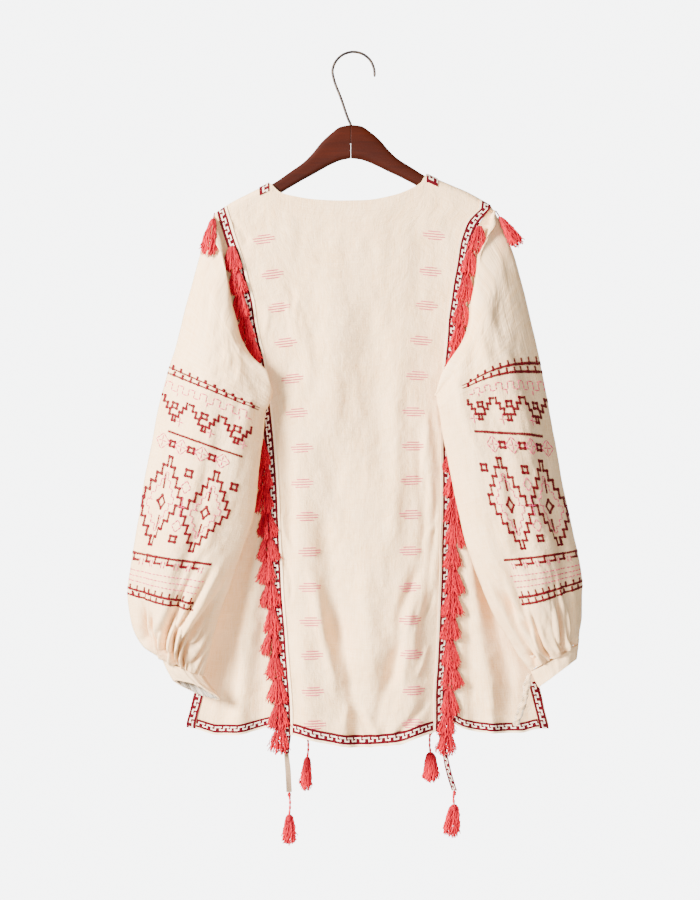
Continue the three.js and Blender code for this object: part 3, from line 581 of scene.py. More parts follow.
def threadPiece(name, lines, look, sides=3):  # lines: (points, radius, tint)
    counts = [len(points) for points, _, _ in lines]
    spots = np.concatenate([points for points, _, _ in lines])
    firsts = np.cumsum([0] + counts[:-1])
    pairs = np.concatenate([np.stack([np.arange(n - 1), np.arange(1, n)], 1) + first
                            for n, first in zip(counts, firsts)])
    mesh = pointMesh(name, spots)
    mesh.edges.add(len(pairs))
    mesh.edges.foreach_set("vertices", pairs.astype(np.int32).ravel())
    thick = np.concatenate([np.broadcast_to(radius, n) for (_, radius, _), n in zip(lines, counts)])
    tint = np.concatenate([np.broadcast_to(t, n) for (_, _, t), n in zip(lines, counts)])
    setValues(mesh, "FLOAT", "value", thick=thick * mm, tint=tint)
    mesh.update()
    return grown(name, mesh, strands, strandSockets, look, Sides=sides)


def stitchPiece(name, spots, along, up, size, tint, look, rings=4, segments=5):
    mesh = pointMesh(name, spots)
    setValues(mesh, "FLOAT_VECTOR", "vector", along=along, up=up, size=size * mm)
    setValues(mesh, "FLOAT", "value", tint=tint)
    mesh.update()
    return grown(name, mesh, stitches, stitchSockets, look, Rings=rings, Segments=segments)


print("node trees")

hanger = {
    "centre": (-3, -93), "tilt": 0.0384, "reach": 162, "thick": 10.6, "wire": 3.5, "depth": 24,
    "roundness": 0.62,                       # power of the arm's rounded oblong section
    # drop of the top and the bottom line below the middle, by distance from it
    "line": [(0, 0, 43.7), (13, 2, 46), (26, 10.7, 51), (39, 22.5, 57.5), (49.4, 35.1, 63),
             (60.5, 46, 68.5), (78, 57.9, 78), (98.8, 71.5, 89.5), (130, 86.5, 103.5),
             (154, 97.8, 112.5), (162, 102.5, 111), (181, 114, 121)],
}
topDrop, bottomDrop = column(hanger["line"], 0, 1), column(hanger["line"], 0, 2)


def armTop(x):
    off = np.asarray(x, float) - hanger["centre"][0]
    return hanger["centre"][1] - topDrop(np.abs(off)) + hanger["tilt"] * off


def armBottom(x):
    off = np.asarray(x, float) - hanger["centre"][0]
    return hanger["centre"][1] - bottomDrop(np.abs(off)) + hanger["tilt"] * off


def makeArm(side):
    sign = outward[side]
    reach, half = hanger["reach"], hanger["thick"] / 2
    tip = reach - 5 + 5 * np.sin(np.linspace(0.15, 1, 8) * pi / 2)
    ends = np.concatenate([[0.15, 0.5, 1.2], np.linspace(2.5, reach - 5, 70), tip])
    angle = np.linspace(0, 2 * pi, 36, endpoint=False)
    cosine, sine = np.cos(angle), np.sin(angle)
    wide = np.sign(cosine) * np.abs(cosine) ** hanger["roundness"]
    tall = np.sign(sine) * np.abs(sine) ** hanger["roundness"]
    rings = []
    for off in ends:
        x = hanger["centre"][0] + sign * off
        top, low = armTop(x), armBottom(x)
        left = (off - (reach - 5)) / 5
        shrink = math.sqrt(max(0.0, 1 - left * left)) if left > 0 else 1.0
        shrink = max(shrink, 0.05) * (0.965 if off < 0.3 else 0.99 if off < 0.6 else 1)
        middle, tallHalf = (top + low) / 2, (top - low) / 2
        height = middle + tallHalf * tall * shrink
        rings.append(np.stack([np.full_like(angle, x), half * wide * shrink, height], 1))
    rings = np.array(rings)
    rows, cols = rings.shape[:2]
    vertices = rings.reshape(-1, 3)
    first, last = len(vertices), len(vertices) + 1
    vertices = np.concatenate([vertices, rings[0].mean(0)[None], rings[-1].mean(0)[None]])
    jj = np.arange(cols)
    jn = (jj + 1) % cols
    capA = np.stack([np.full(cols, first), jn, jj], 1)
    capB = np.stack([np.full(cols, last), (rows - 1) * cols + jj, (rows - 1) * cols + jn], 1)
    faces = [tuple(face) for part in (gridFaces(rows, cols, cols), capA, capB) for face in part]
    if sign > 0:
        faces = [face[::-1] for face in faces]
    mesh = bpy.data.meshes.new(f"arm_{side}")
    mesh.from_pydata((vertices * mm).tolist(), [], faces)
    mesh.polygons.foreach_set("use_smooth", np.ones(len(mesh.polygons), bool))
    mesh.update()
    return pieceOf(standing(f"arm_{side}", mesh, wood), "hanger_wood", f"hanger_arm_{side}")


def hookPath():
    x, z = hanger["centre"]
    points = [(x, 0, z - below) for below in (hanger["depth"], 16, 8, 0)]
    points += [(-6, 0, -86), (-15, 0, -60), (-25.5, 0, -31)]
    for i in range(7):                       # the hook's round
        turn = pi * (0.985 - i * 0.155)
        points.append((27.3 * math.cos(turn) + 0.6, 0, 27.3 * math.sin(turn) - 25.55))
    points.append((28.2, 0, -31))
    points = np.array(points)
    steps = lengths(points)
    slope = np.gradient(points, steps, axis=0)
    out = []
    for at in np.linspace(0, steps[-1], 150):
        i = min(int(np.searchsorted(steps, at, side="right")) - 1, len(points) - 2)
        gap = steps[i + 1] - steps[i]
        out.append(hermite(points[i], points[i + 1], slope[i], slope[i + 1], gap, (at - steps[i]) / gap))
    return np.array(out)


def makeHook():
    path = hookPath()
    radius = np.full(len(path), hanger["wire"] / 2)
    radius[-4:] *= (0.99, 0.93, 0.75, 0.4)    # the rounded tip
    hook = threadPiece("hook", [(path, radius, 0.5)], bronze, sides=14)
    return pieceOf(hook, "hook_wire", "hanger_hook")


for side in bothSides:
    makeArm(side)
makeHook()
print("hanger")

body = {
    "cloth": 1.2, "cuffCloth": 2.2, "slitCloth": 0.9, "gap": 0.3, "rest": 3.3, "round": 9.5,
    "ribbon": 14, "ribbonWall": 1,
    "edge": (9.5, 10.5, 14), "middle": {"back": 17, "front": 7},
    "frontShift": {"left": 28, "right": -17}, "frontNeck": 105, "vent": 6, "underarm": 0.333,
    "foldGain": 1.7, "neckCorners": (0.165, 0.174, 0.785, 0.792),  # shares of the width
    "hemBand": 15.5, "sideBand": 13, "ventBand": 12, "ventLong": 62,
    "seam": [(-203, -177, 178), (-225, -171, 160), (-250, -163, 150.5), (-275, -154.5, 146.5),
             (-300, -148.5, 142), (-325, -141.5, 138.5), (-350, -138, 135), (-375, -133, 133.5),
             (-400, -127, 131), (-433, -122, 129), (-470, -117.5, 127.5), (-505, -114, 127),
             (-580, -109, 127), (-633, -107, 125.5), (-685, -104, 124.5), (-737, -100, 123),
             (-789, -96, 120.5), (-841, -92, 118), (-886, -91, 118)],
    "side": [(-433, -130, 137), (-581, -159, 174), (-711, -179, 202), (-782, -191, 228), (-878, -216, 255)],
    "neck": [(-107, -170), (-94, -182), (-75, -187), (-49, -191), (-17, -192.5), (14, -192),
             (54, -185), (77, -176), (88, -169), (95, -158)],
    "hem": [(-217, -875), (-205, -877), (-192, -881), (-176, -885), (-153, -884), (-127, -879),
            (-101, -873), (-91, -884), (-75, -884), (-43, -892), (6, -899), (55, -895), (81, -886),
            (105, -879), (118, -873), (126, -868), (143, -876), (165, -881), (198, -882),
            (217, -882), (242, -877), (256, -877)],
}
# folds of the body: from (x0, z0) to (x1, z1), half width, height outwards
bodyFolds = {
    "back": [
        (-30, -470, -6, -720, 26, -4), (6, -780, 20, -900, 18, -4), (-60, -700, -66, -900, 20, 4),
        (66, -640, 78, -900, 18, 4), (98, -440, 104, -660, 7, 2.5), (86, -470, 90, -640, 6, -2),
        (-66, -300, -58, -420, 9, 2), (-112, -600, -150, -900, 13, 5), (-104, -640, -122, -900, 9, -3),
        (-176, -760, -184, -900, 9, 2), (148, -600, 182, -900, 13, 5), (138, -640, 158, -900, 8, -3),
        (208, -720, 220, -900, 10, 3), (-94, -300, -72, -372, 4, 1.1), (-84, -296, -60, -350, 3.5, -0.9),
        (10, -838, 40, -905, 7, 1.6), (2, -830, -18, -900, 7, 1.4), (94, -450, 92, -560, 3.2, 1.5),
        (100, -520, 108, -640, 3.5, -1.4), (110, -430, 112, -520, 4, 1.2), (-118, -606, -147, -770, 5, 2.2),
        (-50, -560, -20, -740, 15, -4.6), (-32, -690, 4, -880, 12, -6.5), (-62, -650, -24, -800, 8, 4),
        (-20, -760, -2, -900, 7, 3.2), (16, -640, 22, -800, 15, 3.6), (70, -720, 36, -880, 11, -5.4),
        (84, -690, 62, -800, 6, 3), (-98, -760, -86, -890, 7, -2.6), (82, -655, 62, -735, 7, -3.2),
        (100, -640, 80, -760, 6, 3), (106, -560, 96, -700, 5, -2.4), (60, -800, 30, -880, 7, 2.6),
        (-84, -700, -74, -860, 8, -2.2), (-92, -590, -84, -640, 3, 1.4), (-90, -640, -80, -700, 3, -1.4),
        (108, -600, 94, -640, 3, 1.3), (106, -690, 90, -734, 3.5, -1.6), (104, -760, 84, -800, 4, 1.8),
        (100, -828, 62, -882, 6, -3), (0, -846, 26, -890, 5, -2.4), (-74, -306, -71, -366, 2.6, 1.6),
        (-114, -322, -112, -362, 3, 1.2), (-160, -206, -140, -244, 3, -1.6), (20, -300, 34, -520, 20, -3),
        (-20, -260, -30, -480, 22, 3), (60, -380, 52, -600, 12, 3), (-90, -440, -82, -640, 8, -2.5),
        (-136, -560, -188, -740, 8, -4), (-150, -600, -196, -800, 8, 3.5), (160, -620, 208, -830, 10, -4),
        (134, -700, 146, -880, 6, 3), (-124, -640, -160, -830, 4, -1.6), (184, -790, 178, -880, 6, 1.8)],
    "front": [
        (-30, -500, -40, -900, 24, 4), (40, -480, 52, -900, 24, -3), (-120, -620, -140, -900, 12, 3),
        (150, -620, 176, -900, 12, 3)],
}
seamLines = {"left": column(body["seam"], 0, 1), "right": column(body["seam"], 0, 2)}
sideLines = {"left": column(body["side"], 0, 1), "right": column(body["side"], 0, 2)}
neckBack = column(body["neck"], 0, 1)
hemZ = column(body["hem"], 0, 1)


def seamX(side, layer, z):
    shift = body["frontShift"][side] * ease((-433 - z) / 440) if layer == "front" else 0
    return seamLines[side](z) + shift


def ribbonReach(side, z):                    # the ribbon keeps its width across a slope
    slope = (seamX(side, "back", z + 12) - seamX(side, "back", z - 12)) / 24
    return body["ribbon"] * np.hypot(1, slope)


def ridge(x):
    return armTop(x) + body["rest"]


def topZ(layer, x):
    line = lerp(-170, -158, (x + 107) / 202)
    across = np.clip(np.abs(x + 6) / 101, 0, 1)
    neck = neckBack(x) if layer == "back" else line - body["frontNeck"] * (1 - across ** 2)
    return np.where((x > -107) & (x < 95), np.minimum(ridge(x), neck), ridge(x))


def foldHeight(layer, x, z):
    total = np.zeros(np.broadcast(x, z).shape)
    for x0, z0, x1, z1, half, height in bodyFolds[layer]:
        t = (z - z0) / (z1 - z0)
        middle = lerp(x0, x1, np.clip(t, 0, 1)) + 2.5 * np.sin(t * 5 + x0)
        fade = ease(t * 2.5) * ease((1.3 - t) * 3)
        total = total + body["foldGain"] * height * fade * np.exp(-((x - middle) / half) ** 2)
    return total


def edgeDepth(z):
    shoulder, underarm, hem = body["edge"]
    upper = lerp(shoulder, underarm, np.clip((-205 - z) / 228, 0, 1))
    return lerp(upper, hem, ease((-433 - z) / 440))


def shoulderRound(x, z):
    drop = np.clip((ridge(x) - z) / body["round"], 0, 1)
    return np.sqrt(np.clip(1 - (1 - drop) ** 2, 0.0003, 1))


def panelDepth(layer, x, z):
    left, right = seamX("left", layer, z), seamX("right", layer, z)
    across = np.clip((x - left) / (right - left) * 2 - 1, -1, 1)
    middle = body["middle"][layer] * ease((-190 - z) / 600) * (1 - across ** 2)
    folds = foldHeight(layer, x, z) * ease((1 - np.abs(across)) * 6)
    return (edgeDepth(z) + middle + folds) * shoulderRound(x, z)


def goreDepth(side, layer, x, z):
    seam, edge = seamX(side, layer, z), sideLines[side](z)
    share = np.clip((x - edge) / (seam - edge), 0, 1)
    spread = body["vent"] * ease((-822 - z) / 50)
    base = np.maximum(np.maximum(0.15, spread), edgeDepth(z) * np.sin(share * pi / 2) ** 0.8)
    return base + foldHeight(layer, x, z) * np.sin(share * pi) ** 2


def columnX(layer, u, z):                    # u: -1..0 left ribbon, 0..1 between, 1..2 right ribbon
    left, right = seamX("left", layer, z), seamX("right", layer, z)
    innerLeft, innerRight = left + ribbonReach("left", z), right - ribbonReach("right", z)
    return np.where(u < 0, left + (u + 1) * (innerLeft - left), np.where(
        u > 1, innerRight + (u - 1) * (right - innerRight), lerp(innerLeft, innerRight, u)))


def topsAndHems(layer, u):
    top, hem = np.full(u.shape, -190.0), np.full(u.shape, -885.0)
    for _ in range(12):
        top = lerp(top, topZ(layer, columnX(layer, u, top)), 0.7)
        hem = hemZ(columnX(layer, u, hem) * 0.96)
    return top, hem


facing = {"back": -1, "front": 1}
fine = {"back": (88, 210), "front": (56, 120)}
between = {}
for layer, (columns, _) in fine.items():
    line = np.sort(np.append(np.linspace(0, 1, columns), body["neckCorners"]))
    between[layer] = line[np.append(True, np.diff(line) > 0.004)]
ribbonSteps = 5


def panelGrid(layer):
    sign = facing[layer]
    edge = np.linspace(0, 1, ribbonSteps + 1)[:-1]
    u = np.concatenate([edge - 1, between[layer], 2 - edge[::-1]])
    top, hem = topsAndHems(layer, u)
    turns = np.linspace(0.02, 1, 8) * pi / 2
    zs = [top - body["round"] * (1 - np.cos(turn)) for turn in turns]
    zs += [lerp(top - body["round"], hem, share) for share in np.linspace(0, 1, fine[layer][1])[1:]]
    z = np.array(zs)
    x = columnX(layer, u[None, :], z)
    points = np.stack([x, sign * panelDepth(layer, x, z), z], 2)
    inside = ease((1 - np.abs(np.clip(u, -0.5, 1.5) - 0.5)) * 1.1)[None, :]
    low = ease((top[None, :] - z) / 40)
    rumple = (2.6 * softNoise(x, z * 0.35, 40, 3) + 1.1 * softNoise(x, z * 0.5, 15, 4)
              + 0.4 * softNoise(x, z, 6, 5))
    dirs = squareTo(points, sign)
    quiet = 0.35 + 0.65 * inside
    points = points + dirs * (rumple * low * quiet)[..., None] * 0.9
    dirs = squareTo(points, sign)
    flatTop = np.abs(points[0, :, 1]) < 1
    dirs[0, flatTop, 1] = 0
    dirs[:, 0, 0] -= 0.4
    dirs[:, -1, 0] += 0.4
    dirs = unit(dirs)
    return {"points": points, "dirs": dirs, "u": u, "top": top, "hem": hem}


panels = {layer: panelGrid(layer) for layer in layers}


def seamPoints(side, layer):                 # the panel's edge, moved out by the seam gap
    grid = panels[layer]
    j = 0 if side == "left" else -1
    outX = outward[side]
    dirs = grid["dirs"][:, j]
    out = np.array([outX, 0, 0]) - dirs * (dirs[:, :1] * outX)
    return grid["points"][:, j] + unit(out) * body["gap"], dirs


def seamAt(side, layer, z):                  # the seam's point at a height
    points, _ = seamPoints(side, layer)
    points = points[np.argsort(points[:, 2])]
    return np.stack([np.interp(z, points[:, 2], points[:, k]) for k in range(3)], -1)


def underarmRow(layer):
    grid = panels[layer]
    goal = lerp(grid["top"][0] - body["round"], grid["hem"][0], body["underarm"])
    return int(np.argmin(np.abs(grid["points"][:, 0, 2] - goal)))


def goreGrid(side, layer):
    sign = facing[layer]
    outX = outward[side]
    seam, seamDirs = seamPoints(side, layer)
    first = underarmRow(layer)
    seam, seamDirs = seam[first:], seamDirs[first:]
    start = seam[:, 2]
    highest, lowest = start[0], start[-1]
    down = (highest - start) / (highest - lowest)
    edge = sideLines[side](start)
    shares = np.linspace(0, 1, 30 if layer == "back" else 18)
    x = seam[:, :1] + (edge[:, None] - seam[:, :1]) * shares[None, :]
    z = start[:, None] + (hemZ(x) - lowest) * (down ** 2)[:, None] - body["gap"] * (1 - down)[:, None]
    y = sign * goreDepth(side, layer, x, z)
    points = np.stack([x, y, z], 2)
    points[:, 0] = seam
    turned = -sign if side == "left" else sign
    dirs = squareTo(points, turned)
    rumple = (2.0 * softNoise(x, z * 0.4, 26, 8) + 0.9 * softNoise(x, z * 0.6, 10, 9)
              + 0.35 * softNoise(x, z, 5, 10))
    calm = np.sin(shares * pi)[None, :] ** 0.7 * ease(down * 8)[:, None]
    points = points + dirs * (rumple * calm)[..., None]
    dirs = squareTo(points, turned)
    dirs[:, 0] = seamDirs
    shut = 1 - ease((-822 - points[:, -1, 2]) / 40)
    dirs[:, -1] = dirs[:, -1] * (1 - shut)[:, None] + np.array([outX, 0, 0]) * shut[:, None]
    dirs = unit(dirs)
    return {"points": points, "dirs": dirs}


def clothShell(name, grid, thick, node, around=False):
    uv = lengthUv(grid["points"], around)
    made = shell(name, grid["points"], grid["dirs"], thick, uv, cloth, around)
    return pieceOf(made, "tunic_cloth", node)


def strip(name, grid, rows, cols, look, alongRows, flip, *nodes):
    rows, cols = np.asarray(rows, float), np.asarray(cols, float)
    points = sampled(grid["points"], rows[:, None], cols[None, :])
    dirs = sampled(grid["dirs"], rows[:, None], cols[None, :])
    dirs = unit(dirs)
    points = points + dirs * (body["gap"] + body["ribbonWall"])
    uv = ribbonUv(points, alongRows)
    if flip:
        uv = uv * [1, -1] + [0, 1]
    return pieceOf(shell(name, points, dirs, body["ribbonWall"], uv, look), "key_ribbon", *nodes)


for layer in layers:
    grid = panels[layer]
    clothShell(f"{layer}_cloth", grid, body["cloth"], f"{layer}_panel")
    rows, cols = grid["points"].shape[:2]
    for side in bothSides:
        reach = np.linspace(0.05, ribbonSteps - 0.05, 6)
        across = reach if side == "left" else cols - 1 - reach[::-1]
        strip(f"seam_key_{layer}_{side}", grid, np.arange(3, rows), across, pipedKey, True, side == "right",
              f"seam_ribbon_{layer}_{side}")
        gore = goreGrid(side, layer)
        last, width = gore["points"].shape[0] - 1, gore["points"].shape[1] - 1
        clothShell(f"side_{layer}_{side}", gore, body["cloth"], f"gore_{layer}_{side}")
        step = max(abs(gore["points"][last, 5, 2] - gore["points"][last - 1, 5, 2]), 0.5)
        breadth = np.linalg.norm(gore["points"][last, 0] - gore["points"][last, -1])
        vent = body["ventBand"] / breadth * width
        strip(f"side_hem_key_{layer}_{side}", gore, np.linspace(last - body["sideBand"] / step, last, 5),
              np.linspace(0.5, width - vent - 0.1, 40), pipedKey, False, False, f"gore_ribbon_{layer}_{side}")
        strip(f"vent_key_{layer}_{side}", gore, np.linspace(last - body["ventLong"] / step, last, 24),
              np.linspace(width - vent + 0.1, width, 5), key, True, False, f"vent_ribbon_{layer}_{side}")
    step = abs(grid["points"][-1, cols // 2, 2] - grid["points"][-2, cols // 2, 2])
    inner = ribbonSteps + 0.15
    strip(f"hem_key_{layer}", grid, np.linspace(rows - 1 - body["hemBand"] / step, rows - 1, 6),
          np.linspace(inner, cols - 1 - inner, 160), pipedKey, False, False, f"hem_ribbon_{layer}")

backU = panels["back"]["u"]                  # the neck ribbon's ends, turned over the shoulder
for side, fromU, toU in (("left", 0.128, 0.166), ("right", 0.790, 0.834)):
    reach = np.interp([fromU, toU], backU, np.arange(len(backU)))
    strip(f"neck_end_{side}", panels["back"], np.linspace(0, 7.4, 8), np.linspace(*reach, 8), key,
          side == "left", False)

frontU = panels["front"]["u"]
low, high = np.searchsorted(frontU, body["neckCorners"][1]), np.searchsorted(frontU, body["neckCorners"][3])
strip("neck_key", panels["front"], np.linspace(0, 7.6, 9), np.linspace(low, high, 90), key, False, False,
      "neck_ribbon_front")
print("body and ribbons")

ringNames = ("outX", "outZ", "inX", "inZ", "outY", "inY", "back", "front", "bow")
sleeveRings = {
    "left": [
        (-203, -279, -103, -439, -4, -28, 27, 9, 10), (-216, -327, -105, -451, -6, -30, 29, 11, 6),
        (-229, -379, -108, -459, -8, -31, 31, 13, 3), (-240, -414, -113, -467, -9, -32, 33, 14, 0),
        (-251, -457, -117, -507, -11, -33, 36, 15, 0), (-260, -503, -122, -548, -13, -34, 38, 16, 0),
        (-270, -555, -127, -594, -15, -35, 40, 17, 0), (-278, -607, -138, -633, -17, -35, 40, 17, 0),
        (-286, -656, -152, -674, -20, -35, 39, 17, 0), (-291, -700, -171, -726, -22, -35, 36, 16, 0),
        (-286, -737, -177, -752, -25, -35, 30, 15, 0), (-270, -769, -184, -778, -28, -34, 24, 13, 0),
        (-246, -784, -192, -806, -31, -34, 17, 11, 0)],
    "right": [
        (204, -249, 105, -448, -4, -28, 27, 9, 11), (217, -292, 106, -452, -6, -30, 29, 11, 8),
        (230, -344, 107, -456, -8, -31, 31, 13, 5), (244, -407, 109, -463, -9, -32, 33, 14, 2),
        (255, -464, 114, -494, -11, -33, 36, 15, 0), (264, -516, 124, -540, -13, -34, 38, 16, 0),
        (273, -568, 134, -588, -15, -35, 40, 17, 0), (283, -613, 146, -639, -17, -35, 40, 17, 0),
        (291, -652, 161, -682, -20, -35, 39, 17, 0), (296, -691, 182, -730, -22, -35, 36, 16, 0),
        (295, -726, 202, -763, -25, -35, 30, 15, 0), (291, -752, 217, -787, -28, -34, 24, 13, 0),
        (290, -764, 228, -799, -31, -34, 17, 11, 0)],
}
crestLine = {
    "left": [(-190, -236), (-168, -258), (-159, -321), (-152, -347), (-146, -373), (-138, -386),
             (-126, -399), (-110, -414), (-104, -438)],
    "right": [(191, -219), (181, -232), (162, -271), (160, -297), (153, -327), (151, -350),
              (146, -373), (136, -386), (126, -399), (114, -420), (105, -447)],
}
cuffRings = {                                # the last column tilts the mouth
    "left": [
        (-245.5, -784.8, -190.5, -806.8, -31, -34, 16, 12, 0, 0),
        (-239, -799, -181, -821, -33, -35, 16, 13, 0, 4),
        (-231, -812, -170, -835, -34, -36, 16, 13, 0, 8)],
    "right": [
        (290.2, -764.8, 228.6, -799.8, -31, -34, 16, 12, 0, 0),
        (289, -774, 233, -810, -33, -35, 16, 13, 0, 1),
        (287, -784, 238, -820, -34, -36, 16, 13, 0, 2)],
}
# folds of a sleeve: share round and ring where it starts and ends, half width as a share, height
sleeveFolds = {
    ("left", "back"): [
        (0.98, 7.4, 0.42, 12.0, 0.05, 4.0), (0.8, 6.6, 0.3, 11.6, 0.06, -3.0),
        (0.62, 3.0, 0.52, 9.0, 0.08, -3.2), (0.38, 1.5, 0.3, 8.0, 0.09, 2.6),
        (0.86, 0.6, 0.78, 5.5, 0.06, 2.4), (0.18, 5.0, 0.14, 11.0, 0.05, -2.2),
        (0.7, 8.6, 0.62, 12.0, 0.04, 2.4), (0.78, 8.2, 0.26, 12.1, 0.05, 6.5),
        (0.92, 7.2, 0.42, 12.1, 0.05, 6.5), (0.85, 7.6, 0.34, 12.1, 0.03, -6.0),
        (0.64, 8.4, 0.17, 12.1, 0.03, -6.0), (0.5, 8.8, 0.09, 12.0, 0.05, 5.0),
        (0.98, 8.0, 0.53, 12.1, 0.03, -5.0), (0.2, 9.0, 0.07, 11.6, 0.03, -4.0),
        (0.16, 9.6, 0.15, 11.4, 0.018, -7.0), (0.29, 9.3, 0.2, 11.6, 0.02, -8.0),
        (0.75, 9.6, 0.42, 12.0, 0.02, -8.0), (0.5, 3.4, 0.7, 7.5, 0.05, 2.4)],
    ("right", "back"): [
        (0.92, 6.8, 0.86, 12.0, 0.05, 4.0), (0.72, 6.4, 0.62, 12.0, 0.06, -3.0),
        (0.55, 2.4, 0.5, 8.6, 0.08, -3.0), (0.3, 1.5, 0.3, 8.0, 0.09, 2.4),
        (0.84, 0.6, 0.74, 5.0, 0.06, 2.4), (0.16, 5.0, 0.18, 11.0, 0.05, -2.2),
        (0.42, 8.2, 0.4, 12.0, 0.04, 2.2), (0.8, 7.6, 0.9, 12.2, 0.035, -4.5),
        (0.62, 8.2, 0.78, 12.2, 0.04, 4.5), (0.24, 8.6, 0.22, 12.2, 0.035, 4.5),
        (0.33, 8.8, 0.32, 12.2, 0.03, -4.5), (0.5, 3.4, 0.66, 7.5, 0.05, 2.4),
        (0.98, 7.0, 0.7, 10.0, 0.04, -3.5)],
    ("left", "front"): [
        (0.3, 2.0, 0.36, 11.0, 0.08, 2.5), (0.66, 3.0, 0.6, 11.0, 0.07, -2.5)],
    ("right", "front"): [
        (0.34, 2.0, 0.3, 11.0, 0.08, 2.5), (0.62, 3.0, 0.66, 11.0, 0.07, -2.5)],
}
sleeveFine = {
    "columns": 156, "steps": (3, 4, 5, 6), "ringSteps": 11,
    "foldGain": {"in": 1.9, "out": 1.1},
    "pleats": 7, "pleatLean": {"left": 0.75, "right": 0.08}, "pleatTurn": {"left": 3, "right": 1},
    "pleatDepth": [(0, 0), (7.4, 0), (8.8, 4.0), (10, 12.0), (11, 16.0), (12, 9.0)],  # by ring
    "seed": {"left": 21, "right": 31},
}


def armhole(side):                           # the CAD's ring of 26 points round the armhole
    outX = outward[side]
    rows = {}
    for layer in layers:
        j = 0 if side == "left" else -1
        top, hem = panels[layer]["top"][j], panels[layer]["hem"][j]
        drops = [0.0001, 0.134, 0.5, 1]
        zs = [top - body["round"] * share for share in drops]
        zs += [lerp(top - body["round"], hem, body["underarm"] * i / 9) for i in range(1, 10)]
        x = seamX(side, layer, np.array(zs)) + outX * body["gap"]
        y = facing[layer] * edgeDepth(np.array(zs)) * shoulderRound(x - outX * body["gap"], np.array(zs))
        rows[layer] = np.stack([x, y, zs], 1)
    top = (rows["back"][0] + rows["front"][0]) / 2
    low = rows["back"][-1, 2]
    edge = np.array([sideLines[side](-434.0), 0, low])
    return np.concatenate([[top], rows["back"][1:], [edge], rows["front"][:0:-1]])


def ringPoints(ring, share, onBack, outX):
    swell = np.sin(pi * share) ** 0.7
    bow = ring["bow"] * 6.75 * share * share * (1 - share)
    x = lerp(ring["outX"], ring["inX"], share) + outX * bow
    z = lerp(ring["outZ"], ring["inZ"], share)
    y = lerp(ring["outY"], ring["inY"], share) + swell * np.where(onBack, -ring["back"], ring["front"])
    return np.stack([x, y, z], 1)


def alongLine(line, share):
    line = np.array(line, float)
    steps = lengths(line)
    goal = share * steps[-1]
    return np.interp(goal, steps, line[:, 0]), np.interp(goal, steps, line[:, 1])


